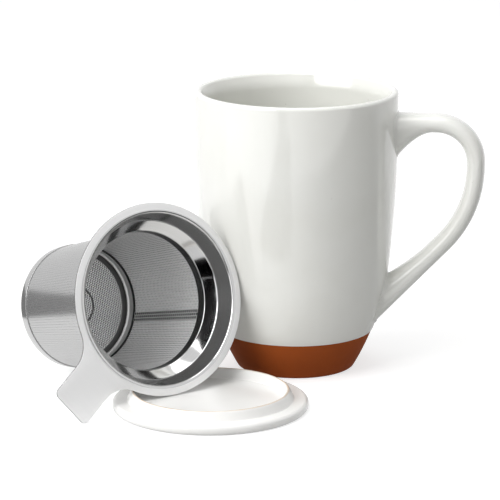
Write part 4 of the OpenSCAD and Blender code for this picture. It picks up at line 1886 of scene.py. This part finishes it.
@dataclass(frozen=True)
class Card:
    """A card beside the set, which only reflections show.

    Its power says how square it is: 1 is an ellipse, and less is squarer. Towards its
    edge it fades out over a share of its size. A black glow makes a dark card.
    """

    name: str
    at: Vector
    towards: Vector
    size: Point
    glow: Colour = BLACK
    power: float = 0.5
    fade: float = 0.0
    steps: int = 64

    def ring(self, share: float) -> list[Vector]:
        """Draws the card's outline at a share of its size.

        Args:
            share: The share.

        Returns:
            The outline.
        """
        turn = (self.towards - self.at).to_track_quat("-Z", "Y").to_matrix().to_4x4()
        place = Matrix.Translation(self.at) @ turn
        points = []
        for a in (math.tau * k / self.steps for k in range(self.steps)):
            x, y = (math.copysign(abs(v) ** self.power, v) for v in (math.cos(a), math.sin(a)))
            points.append(place @ Vector((share * x * self.size[0] / 2, share * y * self.size[1] / 2, 0)))
        return points

    def stand(self) -> None:
        """Builds the card, and hides it from all but reflections."""
        steps = self.steps
        points, faces = self.ring(1 - self.fade), [tuple(range(steps))]
        if self.fade:
            points += self.ring(1.0)
            faces += [(k, steps + k, steps + (k + 1) % steps, (k + 1) % steps) for k in range(steps)]
        mesh = bpy.data.meshes.new(self.name)
        mesh.from_pydata(points, [], faces)
        recipe = Recipe(self.name)
        light = recipe.add("ShaderNodeEmission", {"Color": rgba(self.glow), "Strength": 1.0})
        if self.fade:
            marks = mesh.attributes.new("cover", "FLOAT", "POINT")
            marks.data.foreach_set("value", [1.0] * steps + [0.0] * steps)
            clear = recipe.add("ShaderNodeBsdfTransparent")
            cover = recipe.add("ShaderNodeAttribute", attribute_name="cover").outputs["Fac"]
            light = recipe.add("ShaderNodeMixShader", {0: cover, 1: clear.outputs[0], 2: light.outputs[0]})
        mesh.materials.append(recipe.surface(light))
        card = shown(self.name, mesh)
        card.visible_camera = False
        card.visible_diffuse = False
        card.visible_shadow = False
        card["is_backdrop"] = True


@dataclass
class Studio:
    """Floor, lamps, cards, world and camera."""

    lens: float = 206.94
    sensor: float = 36.0
    camera_at: Triple = (-0.01923, -1.16635, 0.33114)
    pitch: float = 13.6
    sees: Point = (0.05, 20.0)
    floor_size: float = 8.0
    floor_colour: Colour = (0.5, 0.5, 0.5)
    floor_lift: float = 0.68
    ambient: float = 0.445
    dim: Colour = (0.33, 0.33, 0.33)
    bright: Colour = (1.8, 1.8, 1.8)
    lamps: tuple[Lamp, ...] = (
        Lamp("key_box", 53, 42, 1.25, (1.1, 1.5), 16.6),
        Lamp("fill_box", 40, 35, 1.2, (0.6, 0.6), 0.7),
        Lamp("top_box", 180, 84, 1.1, (0.6, 0.6), 2.2),
    )
    # The middle of the mug, of the infuser's mouth, and of the basket's side.
    mug_at: Triple = (0, 0, 0.06)
    mouth_at: Triple = (-0.0554, -0.0546, 0.042)
    basket_at: Triple = (-0.085, -0.03, 0.0235)
    # Where the side card and the front card are, and how high the near card lies.
    side_at: Triple = (-0.152, 0.006, 0.0235)
    front_at: Triple = (0.42, -0.28, 0.001)
    near_z: float = 0.002

    def build_camera(self) -> None:
        """Stands the camera in front of the set, looking a little down."""
        data = bpy.data.cameras.new("camera")
        data.lens, data.sensor_width, data.sensor_fit = self.lens, self.sensor, "HORIZONTAL"
        data.clip_start, data.clip_end = self.sees
        camera = bpy.data.objects.new("camera", data)
        camera.location = self.camera_at
        camera.rotation_euler = (math.radians(90 - self.pitch), 0.0, 0.0)
        bpy.context.scene.collection.objects.link(camera)
        bpy.context.scene.camera = camera

    def build_floor(self) -> None:
        """Lays a plain pale floor that shows as white and keeps the set's shadow."""
        half = self.floor_size / 2
        mesh = bpy.data.meshes.new("floor")
        corners = [(x * half, y * half, 0) for x, y in ((-1, -1), (1, -1), (1, 1), (-1, 1))]
        mesh.from_pydata(corners, [], [(0, 1, 2, 3)])
        recipe = Recipe("floor")
        plain = recipe.add("ShaderNodeBsdfDiffuse", {"Color": rgba(self.floor_colour)})
        lift = recipe.add("ShaderNodeEmission", {"Color": rgba(WHITE), "Strength": self.floor_lift})
        lifted = recipe.add("ShaderNodeAddShader", {0: plain.outputs[0], 1: lift.outputs[0]})
        shaders = {0: recipe.seen(), 1: plain.outputs[0], 2: lifted.outputs[0]}
        light = recipe.add("ShaderNodeMixShader", shaders)
        mesh.materials.append(recipe.surface(light))
        shown("floor", mesh)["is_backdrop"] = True

    def build_world(self) -> None:
        """Fills the room with plain light, and shows it as white."""
        world = bpy.data.worlds.new("studio")
        world.use_nodes = True
        bpy.context.scene.world = world
        sheet = Sheet(world.node_tree)
        sheet.tree.nodes.clear()
        dim, white = (
            sheet.add("ShaderNodeBackground", {"Color": rgba(WHITE), "Strength": strength}).outputs[0]
            for strength in (self.ambient, 1.0)
        )
        light = sheet.add("ShaderNodeMixShader", {0: sheet.seen(), 1: dim, 2: white})
        sheet.add("ShaderNodeOutputWorld", {"Surface": light.outputs[0]})

    def cards(self) -> list[Card]:
        """Places the cards round the infuser's mouth, on the floor and beside the basket.

        Returns:
            The cards.
        """
        mug, mouth, front, side, basket = (
            Vector(at) for at in (self.mug_at, self.mouth_at, self.front_at, self.side_at, self.basket_at)
        )
        near = seen_from(mouth, 10, 0, 0.37)
        near.z = self.near_z
        # A card on the floor faces up, with a slight lean that turns its length.
        near_up, front_up = (seen_from(UP, bearing, 0, 0.01) for bearing in (10, 0))
        return [
            Card("high_card", seen_from(mouth, 15, 40, 0.6), mouth, (0.135, 0.72), power=1.0),
            Card("low_card", seen_from(mouth, 12.5, 4, 0.6), mouth, (0.11, 0.34)),
            Card("near_card", near, near + near_up, (0.14, 0.58)),
            Card("front_card", front, front + front_up, (1.04, 0.96), fade=0.4),
            Card("side_card", side, basket, (0.085, 0.029), self.dim, 0.3),
            Card("strip_card", seen_from(mug, 55.2, -3, 0.302), mug, (0.305, 0.14), self.bright, 0.2),
        ]

    def build(self) -> None:
        """Sets the whole studio up."""
        bpy.context.scene.view_settings.view_transform = "Standard"
        self.build_camera()
        self.build_floor()
        self.build_world()
        for lamp in self.lamps:
            lamp.hang(Vector(self.mug_at))
        for card in self.cards():
            card.stand()


def corners(bounds: tuple[Vector, Vector]) -> list[list[float]]:
    """Bounds as plain lists."""
    return [list(corner) for corner in bounds]


def main() -> None:
    """Builds the mug, the infuser, the lid and the studio."""
    logging.basicConfig(level=logging.INFO, format="%(message)s")
    cad_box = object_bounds()
    mug, infuser, lid = Mug(), Infuser(), Lid()
    layout = Layout(mug, infuser, lid)
    mug.build()
    infuser.build(layout.infuser_place())
    lid.build(layout.lid_place())
    Studio().build()
    sizes = {"cad": corners(cad_box), "visual": corners(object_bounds())}
    LOG.info("sizes %s", sizes)


if __name__ == "__main__":
    main()
